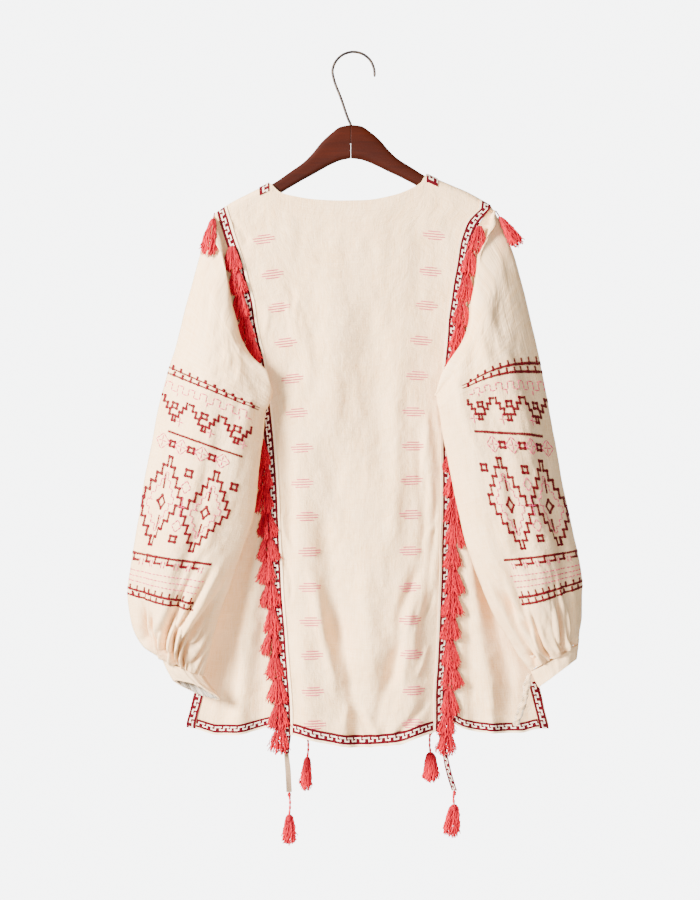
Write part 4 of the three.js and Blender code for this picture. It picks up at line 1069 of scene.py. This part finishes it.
def sleeveGrid(side):
    outX = outward[side]
    coarse = armhole(side)
    count, cols = len(coarse), sleeveFine["columns"]
    half = count / 2
    c = np.arange(cols) * count / cols
    closed = np.concatenate([coarse, coarse[:1]])
    ring0 = np.stack([np.interp(c, np.arange(count + 1), closed[:, k]) for k in range(3)], 1)
    even = np.where(c <= half, c / half, (count - c) / half)
    drop = np.clip((coarse[0, 2] - ring0[:, 2]) / (coarse[0, 2] - coarse[int(half), 2]), 0, 1)
    onBack = (c > 0) & (c < half)
    bottom = ease(1 - np.abs(c - half) / 1.0)
    share = lerp(drop, even, 0.5)
    crestX, crestZ = alongLine(crestLine[side], share)
    swell = np.sin(pi * np.clip(share, 0, 1)) ** 0.6
    crestY = lerp(-2, -27, share) + swell * np.where(onBack, -19, 4)
    crest = np.stack([crestX + np.where(onBack, 0, outX * 5 * swell), crestY, crestZ], 1)
    low = drop ** 5
    riserY = np.where(onBack, ring0[:, 1] - 8, ring0[:, 1] * 0.3 - 19 * low)
    least = (8 + 4 * np.sin(pi * drop) + np.where(onBack, -3, 4) * low) * (0.35 + 0.65 * ease(drop * 5))
    foldX = column(crestLine[side], 1, 0)(ring0[:, 2])
    out = np.maximum(least, outX * (foldX - ring0[:, 0]) - 1.5)
    tip = 1 - ease(drop * 7)                  # the sleeve starts narrow at the shoulder
    out = lerp(out, 5, tip)
    riser = np.stack([ring0[:, 0] + outX * out, riserY, ring0[:, 2] + 5 * low - 9 * tip], 1)
    groove = lerp(ring0, riser, 0.6)
    groove[:, 1] = lerp(ring0[:, 1] * 0.72, -3.5, bottom)
    control = [ring0, groove, riser, crest]
    table = [dict(zip(ringNames, row)) for row in sleeveRings[side]]
    for k, ring in enumerate(table):
        control.append(ringPoints(ring, lerp(even, drop, 0.3 if k == 0 else 0), onBack, outX))
    control = np.array(control)
    at = [0.0]
    for k in range(len(control) - 1):
        steps = sleeveFine["steps"][k] if k < 4 else sleeveFine["ringSteps"]
        at += list(k + np.arange(1, steps + 1) / steps)
    at = np.array(at)
    points = smoothLine(np.arange(len(control)), control)(at)
    ring = at - 4                             # ring number, 0 at the crest's foot, 12 at the cuff
    share = np.broadcast_to(even[None, :], points.shape[:2])
    rows = np.broadcast_to(ring[:, None], points.shape[:2])
    dirs = squareTo(points, outX, True)
    height = np.zeros(points.shape[:2])
    rounded = np.sin(pi * np.clip(share, 0, 1))
    for layer in layers:
        here = onBack[None, :] if layer == "back" else ~onBack[None, :]
        for s0, r0, s1, r1, wide, high in sleeveFolds[side, layer]:
            t = (rows - r0) / (r1 - r0)
            middle = lerp(s0, s1, t) + 0.012 * np.sin(rows * 2.1 + s0 * 9)
            fade = ease(t * 3) * ease((1.08 - t) * 4)
            gain = sleeveFine["foldGain"]["in" if high < 0 else "out"]
            hill = gain * high * fade * np.exp(-((share - middle) / wide) ** 2)
            height += np.where(here, hill, 0) * ease(rounded * 3)
    # gathers above the cuff: uneven, sharp at the cuff and soft further up
    amount = column(sleeveFine["pleatDepth"], 0, 1)(np.clip(ring, 0, 12))[:, None]
    turns = share * sleeveFine["pleats"] + 0.22 * np.sin(rows * 1.7)
    turns = turns + 0.35 * np.sin(share * 17 + sleeveFine["pleatTurn"][side])
    turns = turns - sleeveFine["pleatLean"][side] * (12 - rows)
    uneven = 0.7 + 0.3 * np.sin(share * 23 + 1)
    height -= amount * uneven * (1 - np.abs(np.sin(pi * turns)) ** 0.5) * ease(rounded * 3.5)
    arc = share * 160 * np.where(onBack[None, :], 1, -1)
    long = rows * 42
    calm = ease(rows / 1.5 + 1.2) * (0.35 + 0.65 * rounded)
    seed = sleeveFine["seed"][side]
    rumple = 3.2 * softNoise(arc, long * 0.3, 30, seed) + 0.5 * softNoise(arc, long, 6, seed + 2)
    height += calm * (rumple + 1.5 * softNoise(arc + long * 0.2, long * 0.4, 13, seed + 1))
    points = points + dirs * height[..., None]
    dirs = squareTo(points, outX, True)
    first = dirs[0].copy()
    dirs[0] = lerp(first, np.stack([np.full(cols, 0.5 * outX), first[:, 1], first[:, 2]], 1), 0.4)
    dirs[0] = unit(dirs[0])
    return {"points": points, "dirs": dirs, "ring": ring}


def cuffGrid(side):
    outX = outward[side]
    cols = 130
    share = np.arange(cols) * 2 / cols
    onBack = (share > 0) & (share < 1)
    even = np.where(share <= 1, share, 2 - share)
    control = []
    for row in cuffRings[side]:
        ring = dict(zip((*ringNames, "tilt"), row))
        p = ringPoints(ring, even, onBack, outX)
        middle = lerp(ring["outY"], ring["inY"], even)
        p[:, 2] -= ring["tilt"] * (p[:, 1] - middle) / ring["back"]
        control.append(p)
    at = np.linspace(0, 2, 16)
    points = smoothLine([0, 1, 2], np.array(control))(at)
    dirs = squareTo(points, outX, True)
    turn = even * 30 * np.where(onBack, 1, -1)
    ripple = 0.55 * np.sin(turn + 0.7 * np.sin(turn * 0.4))[None, :] * lerp(1, 0.35, at / 2)[:, None]
    ripple = ripple + 0.5 * softNoise(even[None, :] * 60, at[:, None] * 12, 9, 40)
    points = points + dirs * ripple[..., None]
    return {"points": points, "dirs": squareTo(points, outX, True)}


sleeves, cuffs = {}, {}
for side in bothSides:
    sleeves[side] = sleeveGrid(side)
    clothShell(f"sleeve_cloth_{side}", sleeves[side], body["cloth"], f"sleeve_{side}", True)
    cuffs[side] = cuffGrid(side)
    clothShell(f"cuff_cloth_{side}", cuffs[side], body["cuffCloth"], f"cuff_{side}", True)
print("sleeves")

tassels = {"threads": {"back": 108, "front": 40}, "length": 36.5, "half": 14.5, "thick": 0.54, "pitch": 31}
tasselRuns = [
    ("left", "back", -500, -872, 3.6, [(-252, -6), (-281, -2), (-311, 1.5), (-341, 0), (-369, -3)]),
    ("right", "back", -512, -898, 4.2, [(-226, 4), (-257, 2), (-289, 3), (-323, 1.5), (-352, 3), (-381, 0)]),
    ("left", "front", -470, -872, 3.3, [(-219, -2), (-250, -2), (-281, -2), (-312, -2), (-344, -2)]),
    ("right", "front", -470, -872, 3.3, [(-219, -2), (-250, -2), (-281, -2), (-312, -2), (-344, -2)]),
]


def tasselThreads(top, long, half, depth, count, sign, lean=0.0, thick=0.42, bell=0.85):
    lines = []
    t = np.linspace(0, 1, 9)
    for n in range(count):
        a = rng.uniform(-1, 1)
        a = math.copysign(abs(a) ** 0.75, a)
        layer = rng.uniform(0, 1)
        reach = long * (1 - 0.17 * a * a) * rng.uniform(0.78, 1.03)
        wide = half * a * rng.uniform(0.85, 1.05)
        flare = 0.22 + 0.78 * t ** bell
        amp, waves, turn = rng.uniform(0.4, 1.7), rng.uniform(1.8, 4.6), rng.uniform(0, 2 * pi)
        wave = amp * np.sin(2 * pi * waves * t + turn) * np.sqrt(t)
        x = top[0] + wide * flare + wave + lean * t + rng.normal() * 1.3 * t ** 3
        y = top[1] + sign * (depth * (0.25 + layer * (1 - 0.5 * a * a)) * np.minimum(1, 0.35 + t)) \
            + 0.6 * amp * np.cos(2 * pi * waves * t + turn) * np.sqrt(t)
        z = top[2] - reach * t
        # painted shade: each thread is darker near the tassel's head and on the inner layers of the bunch, and
        # lighter at the tips and on the outer layer; the rest of the tint is random tone
        tint = np.clip(0.25 + 0.55 * layer + rng.uniform(-0.25, 0.28) - 0.45 * (1 - t) ** 1.5, 0, 1)
        lines.append((np.stack([x, y, z], 1), thick * rng.uniform(0.85, 1.2) * (0.75 + 0.25 * t), tint))
    return lines


def wrap(top, radius, high, turns, thick, sign):
    t = np.linspace(0, 1, int(turns * 9))
    angle = 2 * pi * turns * t
    y = top[1] + sign * radius * 0.4 + radius * np.sin(angle)
    points = np.stack([top[0] + radius * np.cos(angle), y, top[2] - high * t], 1)
    return (points, thick, np.full(len(t), 0.35))


def tasselRow(side, layer, start, last, off, upper):
    sign, outX = facing[layer], outward[side]
    lines = []
    places = [(z, out, False) for z, out in upper]
    z = start
    while z >= last:
        places.append((z + rng.uniform(-1.5, 1.5), off, True))
        z -= tassels["pitch"]
    for z, out, free in places:
        point = seamAt(side, layer, z)
        shift = rng.uniform(-1.3, 1.3) if free else 0
        top = point + np.array([outX * out + shift, sign * (2.3 if free else 3.4), 0])
        half = tassels["half"] * (rng.uniform(0.78, 1.08) if free else 0.88)
        count = tassels["threads"][layer]
        lean = (outX * rng.uniform(-2.0, 3.0)) if free else -outX * rng.uniform(0, 2.0)
        long = tassels["length"] * rng.uniform(0.97, 1.08)
        lines += tasselThreads(top, long, half, 5.2, count, sign, lean, tassels["thick"])
        lines.append(wrap(top + np.array([0, 0, -1.5]), 1.9, 2.6, 3, 0.45, sign))
    return lines


for side, layer, start, last, off, upper in tasselRuns:
    threads = tasselRow(side, layer, start, last, off, upper)
    made = threadPiece(f"tassels_{layer}_{side}", threads, coral, sides=3)
    pieceOf(made, "tassel_cotton", f"tassel_trim_{layer}_{side}")
print("tassels")

tailY, tailCloth = -15.4, 0.8                # where the tails hang, and their thickness
tails = {                                    # rows: middle, height and width going down
    "left": {"rows": [(-86, -906, 6), (-84, -932, 7), (-82.5, -958, 7)], "share": (0.15, 0.85),
             "look": reverse, "shown": 14},   # the tail shows its face first, then turns over
    "right": {"rows": [(118, -904, 6), (122, -925, 7), (127, -943, 7), (131, -956, 7)],
              "share": (0.2, 0.65), "look": key, "shown": 0},
}
endTassels = [                               # side, layer, cord, tassel, half width, lean
    ("left", "back", 29, 38, 8.5, 0), ("right", "back", 18, 42, 10.5, -4),
    ("left", "front", 29, 44, 7, -2), ("right", "front", 29, 39, 10, 0.5),
]
frontEnd = {"left": 0.3, "right": 0.02}      # where a front cord leaves the ribbon, as a share
cord = {
    "strand": 1.0, "apart": 0.8, "twist": 0.5, "sway": 1.1,  # two strands round each other
    "knot": 1.7, "knotThick": 0.8, "knotDrops": (2.2, 4.3),
    "depth": 7.5, "threads": 150, "thick": 0.62, "bell": 0.4, "wraps": (2.5, 4.1, 5.7),
}


def ribbonEnd(side, layer, share):
    grid = panels[layer]
    cols = grid["points"].shape[1]
    a, b = (0, ribbonSteps) if side == "left" else (cols - 1, cols - 1 - ribbonSteps)
    point = lerp(grid["points"][-1, a], grid["points"][-1, b], share)
    return point + grid["dirs"][-1, a] * (body["gap"] + body["ribbonWall"]) + np.array([0, 0, -body["gap"]])


def makeTail(side):
    look = tails[side]
    ends = sorted([ribbonEnd(side, "back", share) for share in look["share"]], key=lambda p: p[0])
    rows = [(ends[0] + ends[1]) / 2] + [np.array([x, tailY, z]) for x, z, _ in look["rows"]]
    wide = [ends[1][0] - ends[0][0]] + [w for _, _, w in look["rows"]]
    at = np.linspace(0, len(rows) - 1, 40)
    middle = smoothLine(np.arange(len(rows)), np.array(rows))(at)
    breadth = smoothLine(np.arange(len(rows)), wide)(at)
    across = np.linspace(-0.5, 0.5, 6)
    twist = 1.8 * np.sin(at * 2.6)[:, None] * across[None, :]
    points = middle[:, None, :] + np.stack([breadth[:, None] * across[None, :], twist, np.zeros((40, 6))], 2)
    dirs = squareTo(points, -1)
    shown = look["shown"]
    lower = points[shown:]
    made = shell(f"tail_{side}", lower, dirs[shown:], tailCloth, ribbonUv(lower, True), look["look"])
    pieceOf(made, "key_ribbon", f"tail_ribbon_{side}")
    if shown:
        upper = points[:shown + 1]
        spine = upper.mean(1, keepdims=True)
        face = spine + (upper - spine) * np.linspace(1.0, 1.25, shown + 1)[:, None, None] - [0, 0.3, 0]
        made = shell("tail_left_face", face, dirs[:shown + 1], tailCloth, ribbonUv(face, True), key)
        pieceOf(made, "key_ribbon")


def endTassel(side, layer, cordLong, long, half, lean):
    x, z, _ = tails[side]["rows"][-1]
    top = np.array([x, tailY, z - body["gap"]]) if layer == "back" else ribbonEnd(side, layer, frontEnd[side])
    drop = np.linspace(0, 1, 12)
    sway = -outward[side] * cord["sway"] * np.sin(drop * pi)
    lines = []
    for turn in (0, pi):
        twist = turn + drop * cordLong * cord["twist"]
        x, y = top[0] + sway + cord["apart"] * np.cos(twist), top[1] + cord["apart"] * np.sin(twist)
        strand = np.stack([x, y, top[2] - (cordLong + 1) * drop], 1)
        lines.append((strand, cord["strand"], np.full(12, 0.75)))
    angle = np.linspace(0, 2 * pi, 14)
    loop = np.stack([cord["knot"] * np.cos(angle), cord["knot"] * np.sin(angle), 0.9 * np.sin(angle * 2)], 1)
    for below in cord["knotDrops"]:
        lines.append((top - [0, 0, below] + loop, cord["knotThick"], np.full(14, 0.55)))
    foot = top - [0, 0, cordLong]
    lines += tasselThreads(
        foot + [0, 3, 0], long, half, cord["depth"], cord["threads"], -1, lean, cord["thick"], cord["bell"])
    for below in cord["wraps"]:
        lines.append(wrap(foot - [0, 0, below], 2.9, 1.6, 2, 0.5, 0))
    made = threadPiece(f"end_tassels_{layer}_{side}", lines, coral, sides=4)
    pieceOf(made, "tassel_cotton", f"end_tassel_{layer}_{side}")


for side in bothSides:
    makeTail(side)
for end in endTassels:
    endTassel(*end)


# the tassels of the front's shoulder ribbons, hanging over the tops of the sleeves
shoulderTassels = [(-179, -209, -17, -187, 50), (185, -206, -12, 211, 40)]  # x, z, y, foot's x, length
lines = []
for x, z, y, footX, long in shoulderTassels:
    string = np.linspace(0, 1, 8)
    lean = footX - x
    loop = np.stack([x + lean * 0.2 * string, y + 4 * (1 - string), z - 9 * string], 1)
    lines.append((loop, cord["strand"], np.full(8, 0.5)))
    foot = np.array([x + lean * 0.2, y + 1, z - 8])
    lines += tasselThreads(foot, long, 9.5, 5.5, 130, -1, lean * 0.8, cord["thick"], 0.6)
pieceOf(threadPiece("shoulder_tassels", lines, coral, sides=3), "tassel_cotton")
print("tails and end tassels")

slit = [                                     # middle x and z, width, y: the open edge below the right cuff
    (227, -802.5, 4, -34), (223, -816, 9, -36), (221, -832, 7, -35),
    (216, -846, 10, -37), (212, -858, 9, -36), (209, -868, 8, -36),
]


def slitSurface():
    rows = np.array(slit, float)
    at = np.linspace(0, len(rows) - 1, 70)
    line = smoothLine(np.arange(len(rows)), rows)(at)
    across = np.linspace(-0.5, 0.5, 11)
    wide = line[:, 2] * (1 + 0.12 * np.sin(at * 7))
    x = line[:, 0][:, None] + wide[:, None] * across[None, :]
    crown = 2.6 * np.cos(across * pi)[None, :] * (0.6 + 0.5 * np.sin(at * 5)[:, None])
    y = line[:, 3][:, None] - crown + 1.6 * np.sin(at * 9)[:, None] * across[None, :]
    z = line[:, 1][:, None] - 1.2 * np.cos(across * pi)[None, :]
    points = np.stack([x, y, z], 2)
    return {"points": points, "dirs": squareTo(points, -1)}


slitGrid = slitSurface()
clothShell("slit_edges", slitGrid, body["slitCloth"], "cuff_slit_right")


def surfaceAt(grid, rows, cols, lift):       # a point, its direction out and its way along
    cols = np.mod(cols, grid["points"].shape[1])
    wrapped = {k: np.concatenate([grid[k], grid[k][:, :1]], 1) for k in ("points", "dirs")}
    point = sampled(wrapped["points"], rows, cols)
    up = unit(sampled(wrapped["dirs"], rows, cols))
    return point + up * lift, up


def segmentsOf(lines):
    for line in lines:
        line = np.array(line, float)
        for a, b in zip(line[:-1], line[1:]):
            distance = np.linalg.norm(b - a)
            if distance >= 0.5:
                yield a, b, distance


def satinLines(place, lines, wide, pitch=1.4, lift=0.12):  # stitches laid across thick lines
    spots, along, up, size, tint = [], [], [], [], []
    for a, b, distance in segmentsOf(lines):
        way = (b - a) / distance
        number = max(2, round((distance + wide) / pitch))
        side = np.array([-way[1], way[0]]) * wide / 2
        shares = (np.arange(number) + 0.5) / number
        middles = a - way * wide / 2 + way * (shares * (distance + wide))[:, None]
        middles = middles + rng.uniform(-0.12, 0.12, middles.shape)
        ends, normals = place(np.concatenate([middles - side, middles, middles + side]))
        low, mid, high = np.split(ends, 3)
        spots.append(mid + normals[number:2 * number] * lift)
        along.append(high - low)
        up.append(normals[number:2 * number])
        reach = np.linalg.norm(high - low, axis=1) * rng.uniform(1.02, 1.2, number)
        size.append(np.stack([reach * 1.12, np.full(number, pitch * 1.75), np.full(number, 1.2)], 1))
        tint.append(rng.uniform(0.2, 0.9, number))
    return tuple(np.concatenate(part) for part in (spots, along, up, size, tint))


def stitchLines(place, lines, long, wide, lift=0.25):  # single stitches laid along thin lines
    spots, along, up, size, tint = [], [], [], [], []
    for a, b, distance in segmentsOf(lines):
        number = max(1, round(distance / long))
        side = np.array([-(b - a)[1], (b - a)[0]]) / distance
        step = (b - a) / number * 0.5
        for n in range(number):
            middle = a + (b - a) * (n + 0.5 + rng.uniform(-0.08, 0.08)) / number
            middle = middle + side * rng.uniform(-0.12, 0.12)
            ends, normals = place(np.array([middle - step, middle, middle + step]))
            reach = np.linalg.norm(ends[2] - ends[0]) * 1.12
            spots.append(ends[1] + normals[1] * lift)
            along.append(ends[2] - ends[0])
            up.append(normals[1])
            size.append((reach, wide * rng.uniform(0.9, 1.15), wide * 0.75))
            tint.append(rng.uniform(0.1, 0.95))
    return tuple(np.array(part) for part in (spots, along, up, size, tint))


embroidery = {                               # first and last ring, and the share of the half it covers
    "top": {"left": 2.85, "right": 2.75}, "foot": 8.95,
    "wide": {"left": (0.93, 0.74), "right": (0.76, 0.72)},
    "across": 118, "down": 290, "satin": 3.9, "stitch": (5.6, 1.8),
}


def sleevePlace(side, sign):                 # millimetres on the flat panel to the sleeve's surface
    grid = sleeves[side]
    cols = grid["points"].shape[1]

    def place(spot):
        s, t = spot[:, 0], spot[:, 1]
        level = np.clip(t / embroidery["down"], 0, 1)
        if side == "right":                   # the upper bands lie flatter than the sleeve's rings
            t = t + 9 * (1 - level) - (34 - 27 * level) * s / embroidery["across"]
        ring = lerp(embroidery["top"][side], embroidery["foot"], t / embroidery["down"])
        span = lerp(*embroidery["wide"][side], level)
        share = s / embroidery["across"] * span
        rows = np.interp(ring, grid["ring"], np.arange(len(grid["ring"])))
        at = share * cols / 2
        return surfaceAt(grid, rows, at if sign > 0 else -at, 0.0)
    return place


def square(s, t, half):
    return [(s + half * a, t + half * b) for a, b in ((-1, -1), (1, -1), (1, 1), (-1, 1), (-1, -1))]


def diamond(s, t, half, tall):
    return [(s - half, t), (s, t - tall), (s + half, t), (s, t + tall), (s - half, t)]


def steps(s0, t0, s1, t1, count):            # a stair between two points
    line = [(s0, t0)]
    for n in range(count):
        s, t = lerp(s0, s1, (n + 1) / count), lerp(t0, t1, (n + 1) / count)
        line += [(s, line[-1][1]), (s, t)]
    return line


def steppedDiamond(s, t, half, tall, count):
    return [steps(s, t - tall, s + half, t, count), steps(s + half, t, s, t + tall, count),
            steps(s, t + tall, s - half, t, count), steps(s - half, t, s, t - tall, count)]


def combBand(t, wide, way):                   # two lines with short ticks on both
    lines = [[(0, t), (wide, t)], [(0, t + 9), (wide, t + 9)]]
    for s in np.arange(5, wide, 11.5):
        lines += [[(s, t), (s, t + way * 5)], [(s + 4, t + 9), (s + 4, t + 9 + way * 4.5)]]
    return lines


def panelMotifs():
    wide, down = embroidery["across"], embroidery["down"]
    red = combBand(0, wide, -1) + combBand(down - 6, wide * 0.97, -1)
    pink = []
    meander = []                              # a thin running meander below the comb
    for s in np.arange(2, wide - 10, 16):
        meander += [(s, 30), (s, 20), (s + 8, 20), (s + 8, 30), (s + 16, 30)]
    pink.append(meander)
    for s in (0, 40, 80):                     # a chain of stepped half lozenges
        red += [steps(s, 40, s + 20, 68, 4), steps(s + 20, 68, s + 36, 40, 4)]
        red += [square(s + 20, 48, 3.2)]
        pink += [[(s + 20, 30), (s + 20, 36)], [(s + 31, 60), (s + 31, 74)], [(s + 25, 67), (s + 37, 67)]]
    red.append([(20, 84), (wide - 6, 84)])
    for s in (14, 40, 66, 92):                # crosses and small squares
        pink += [[(s - 6, 98), (s + 6, 98)], [(s, 91), (s, 105)], diamond(s, 98, 9, 10)]
        if s < 90:
            red.append(square(s + 13, 98, 3.2))
    for s in (26, 86):                        # tall stepped diamonds
        red += steppedDiamond(s, 168, 28, 54, 5)
        red += [diamond(s, 168, 5, 8), [(s, 136), (s, 150)], [(s, 186), (s, 200)]]
        pink += steppedDiamond(s, 168, 18, 36, 4)
        pink += [[(s - 10, 168), (s - 14, 168)], [(s + 10, 168), (s + 14, 168)]]
    red += [square(56, 126, 3.6), square(56, 210, 3.6), square(112, 126, 3.4)]
    pink += [diamond(56, 143, 6, 8), diamond(56, 193, 6, 8), [(56, 155), (56, 181)], [(50, 168), (62, 168)]]
    red.append([(0, 236), (wide * 0.98, 236)])
    for s in np.arange(4, wide - 10, 18):
        red += [[(s, 236), (s, 244)], [(s, 244), (s + 7, 244)]]
        pink += [[(s + 10, 240), (s + 10, 250)], [(s + 14, 240), (s + 14, 250)]]
    pink += [[(0, 258), (wide, 258)], [(0, 265), (wide * 0.98, 265)], [(0, 272), (wide * 0.97, 272)]]
    return red, pink


red, pink = panelMotifs()
for side in bothSides:
    for colour, lines, look in (("red", red, redThread), ("pink", pink, pinkThread)):
        parts = [satinLines(sleevePlace(side, sign), lines, embroidery["satin"]) if colour == "red"
                 else stitchLines(sleevePlace(side, sign), lines, *embroidery["stitch"]) for sign in (1, -1)]
        parts = [np.concatenate(pair) for pair in zip(*parts)]
        made = stitchPiece(f"embroidery_{colour}_{side}", *parts, look, rings=3, segments=4)
        pieceOf(made, "tassel_cotton")
print("sleeve embroidery")

# small lozenges of dashes down both sides of the back: x and z in millimetres
backMotifs = {
    "left": [
        (-115.7, -242.8), (-105.3, -288.3), (-96.2, -331.2), (-87.1, -376.7), (-79.3, -423.5),
        (-72.8, -467.7), (-66.3, -513.2), (-65, -558.7), (-59.8, -601.6), (-57.2, -647.1),
        (-55.9, -692.6), (-54.6, -736.8), (-53.3, -779.7), (-52, -826.5), (-49.4, -869.4)],
    "right": [
        (105.3, -237.6), (100.1, -284.4), (94.9, -328.6), (88.4, -374.1), (83.2, -419.6), (78, -466.4),
        (76.7, -510.6), (75.4, -554.8), (74.1, -599), (72.8, -645.8), (72.8, -692.6), (74.1, -734.2),
        (75.4, -778.4), (78, -825.2), (76.7, -868.1)],
}
motif = {                                    # rows of a lozenge: height from its middle, half length
    "rows": ((-4.95, 9), (-1.65, 14), (1.65, 14), (4.95, 8)), "slope": {"left": -0.1, "right": 0.12},
    "radius": 0.55, "arch": 0.42,
}


def backPlace(spot):
    grid = panels["back"]
    x, z = spot[:, 0], spot[:, 1]
    rows = np.full(len(x), 60.0)
    cols = np.full(len(x), 40.0)
    for _ in range(12):
        point = sampled(grid["points"], rows, cols)
        stepX = sampled(grid["points"], rows, cols + 1)[:, 0] - point[:, 0]
        stepZ = sampled(grid["points"], rows + 1, cols)[:, 2] - point[:, 2]
        cols = np.clip(cols + (x - point[:, 0]) / stepX, 0, grid["points"].shape[1] - 2)
        rows = np.clip(rows + (z - point[:, 2]) / stepZ, 0, grid["points"].shape[0] - 2)
    return sampled(grid["points"], rows, cols), unit(sampled(grid["dirs"], rows, cols))


dashes = []
for side, spots in backMotifs.items():
    for x, z in spots:
        tilt = motif["slope"][side] * (1 - ease((-z - 320.8) / 260)) - 0.03
        for rise, half in motif["rows"]:
            along = np.linspace(-half, half, 7) + rng.uniform(-1.2, 1.2)
            spot = np.stack([x + along, z + rise - along * tilt], 1)
            point, up = backPlace(spot)
            arch = 0.2 + motif["arch"] * np.sin(np.linspace(0, pi, 7)) ** 0.5
            dashes.append((point + up * arch[:, None], motif["radius"], np.full(7, rng.uniform(0.2, 0.9))))
pieceOf(threadPiece("back_dashes", dashes, pinkThread, sides=4), "tassel_cotton")

# overlock stitches inside the cuffs' lower edge and along the slit; stitch: longest, width, lift
overlock = {
    "cuffPitch": 1.25, "cuffLong": 6.2, "cuffStitch": (14.0, 1.3, 0.2),
    "slitPitch": 1.9, "slitStitch": (9.0, 1.0, 0.3),
}


def cuffPlace(side):                          # on the cuff's inside
    def place(spot):
        point, up = surfaceAt(cuffs[side], spot[:, 1], spot[:, 0], -body["cuffCloth"] - 0.1)
        return point, -up
    return place


def slitPlace(spot):
    return [sampled(slitGrid[kind], spot[:, 1], spot[:, 0]) for kind in ("points", "dirs")]


for side in bothSides:
    rows, cols = cuffs[side]["points"].shape[:2]
    ticks = []
    for c in np.arange(0, cols, overlock["cuffPitch"]):
        inner = rows - 1 - overlock["cuffLong"] - 0.6 * math.sin(c * 3)
        ticks.append([(c, rows - 0.9), (c + 0.35 * math.sin(c), inner)])
    parts = stitchLines(cuffPlace(side), ticks, *overlock["cuffStitch"])
    pieceOf(stitchPiece(f"overlock_{side}", *parts, overlockThreadWithShade), "tunic_cloth")
ticks = []
for r in np.arange(1, 68, overlock["slitPitch"]):
    ticks += [[(-0.3, r), (3.6, r + 0.7)], [(10.3, r), (6.6, r + 0.7)]]
parts = stitchLines(slitPlace, ticks, *overlock["slitStitch"])
pieceOf(stitchPiece("overlock_slit", *parts, overlockThreadWithShade), "tunic_cloth")
print("dashes and overlock")

stage = {"floorRadius": 0.62, "floorY": -0.06, "floorZ": -1.27, "wallX": 4, "wallY": 4.6, "wallZ": (-3.5, 3)}


def stageSheet(name, corners, look):
    mesh = bpy.data.meshes.new(name)
    mesh.from_pydata(corners, [], [list(range(len(corners)))])
    standing(name, mesh, look)


def glowMaterial(name, strength):
    made, start = material(name)
    glow = start.node("ShaderNodeEmission", None, {"Color": (0.98, 0.99, 1.0, 1), "Strength": strength})
    output = made.node_tree.nodes.new("ShaderNodeOutputMaterial")
    made.node_tree.links.new(glow.socket, output.inputs["Surface"])
    return made


turn = np.linspace(0, 2 * pi, 96, endpoint=False)
rim = [(stage["floorRadius"] * math.cos(a), stage["floorRadius"] * math.sin(a) + stage["floorY"],
        stage["floorZ"]) for a in turn]
stageSheet("floor", rim, paleMaterial("pale floor", rgb(238, 239, 238)))
far, half, (low, high) = stage["wallY"], stage["wallX"], stage["wallZ"]
stageSheet("backdrop", [(-half, far, low), (half, far, low), (half, far, high), (-half, far, high)],
           glowMaterial("white backdrop", light["backdrop"]))

sewnOn = {
    "back_cloth": ["hem_key_back", "tail_left_face", "back_dashes"],
    "front_cloth": ["hem_key_front", "neck_key"],
    "slit_edges": ["overlock_slit"],
}
for side in bothSides:
    sewnOn["back_cloth"] += [f"{part}_{side}" for part in ("seam_key_back", "neck_end", "tail", "tassels_back")]
    sewnOn["front_cloth"] += [f"{part}_front_{side}" for part in ("seam_key", "tassels")]
    for layer in layers:
        sewnOn[f"side_{layer}_{side}"] = [f"side_hem_key_{layer}_{side}", f"vent_key_{layer}_{side}"]
    sewnOn[f"sleeve_cloth_{side}"] = [f"embroidery_red_{side}", f"embroidery_pink_{side}"]
    sewnOn[f"cuff_cloth_{side}"] = [f"overlock_{side}"]
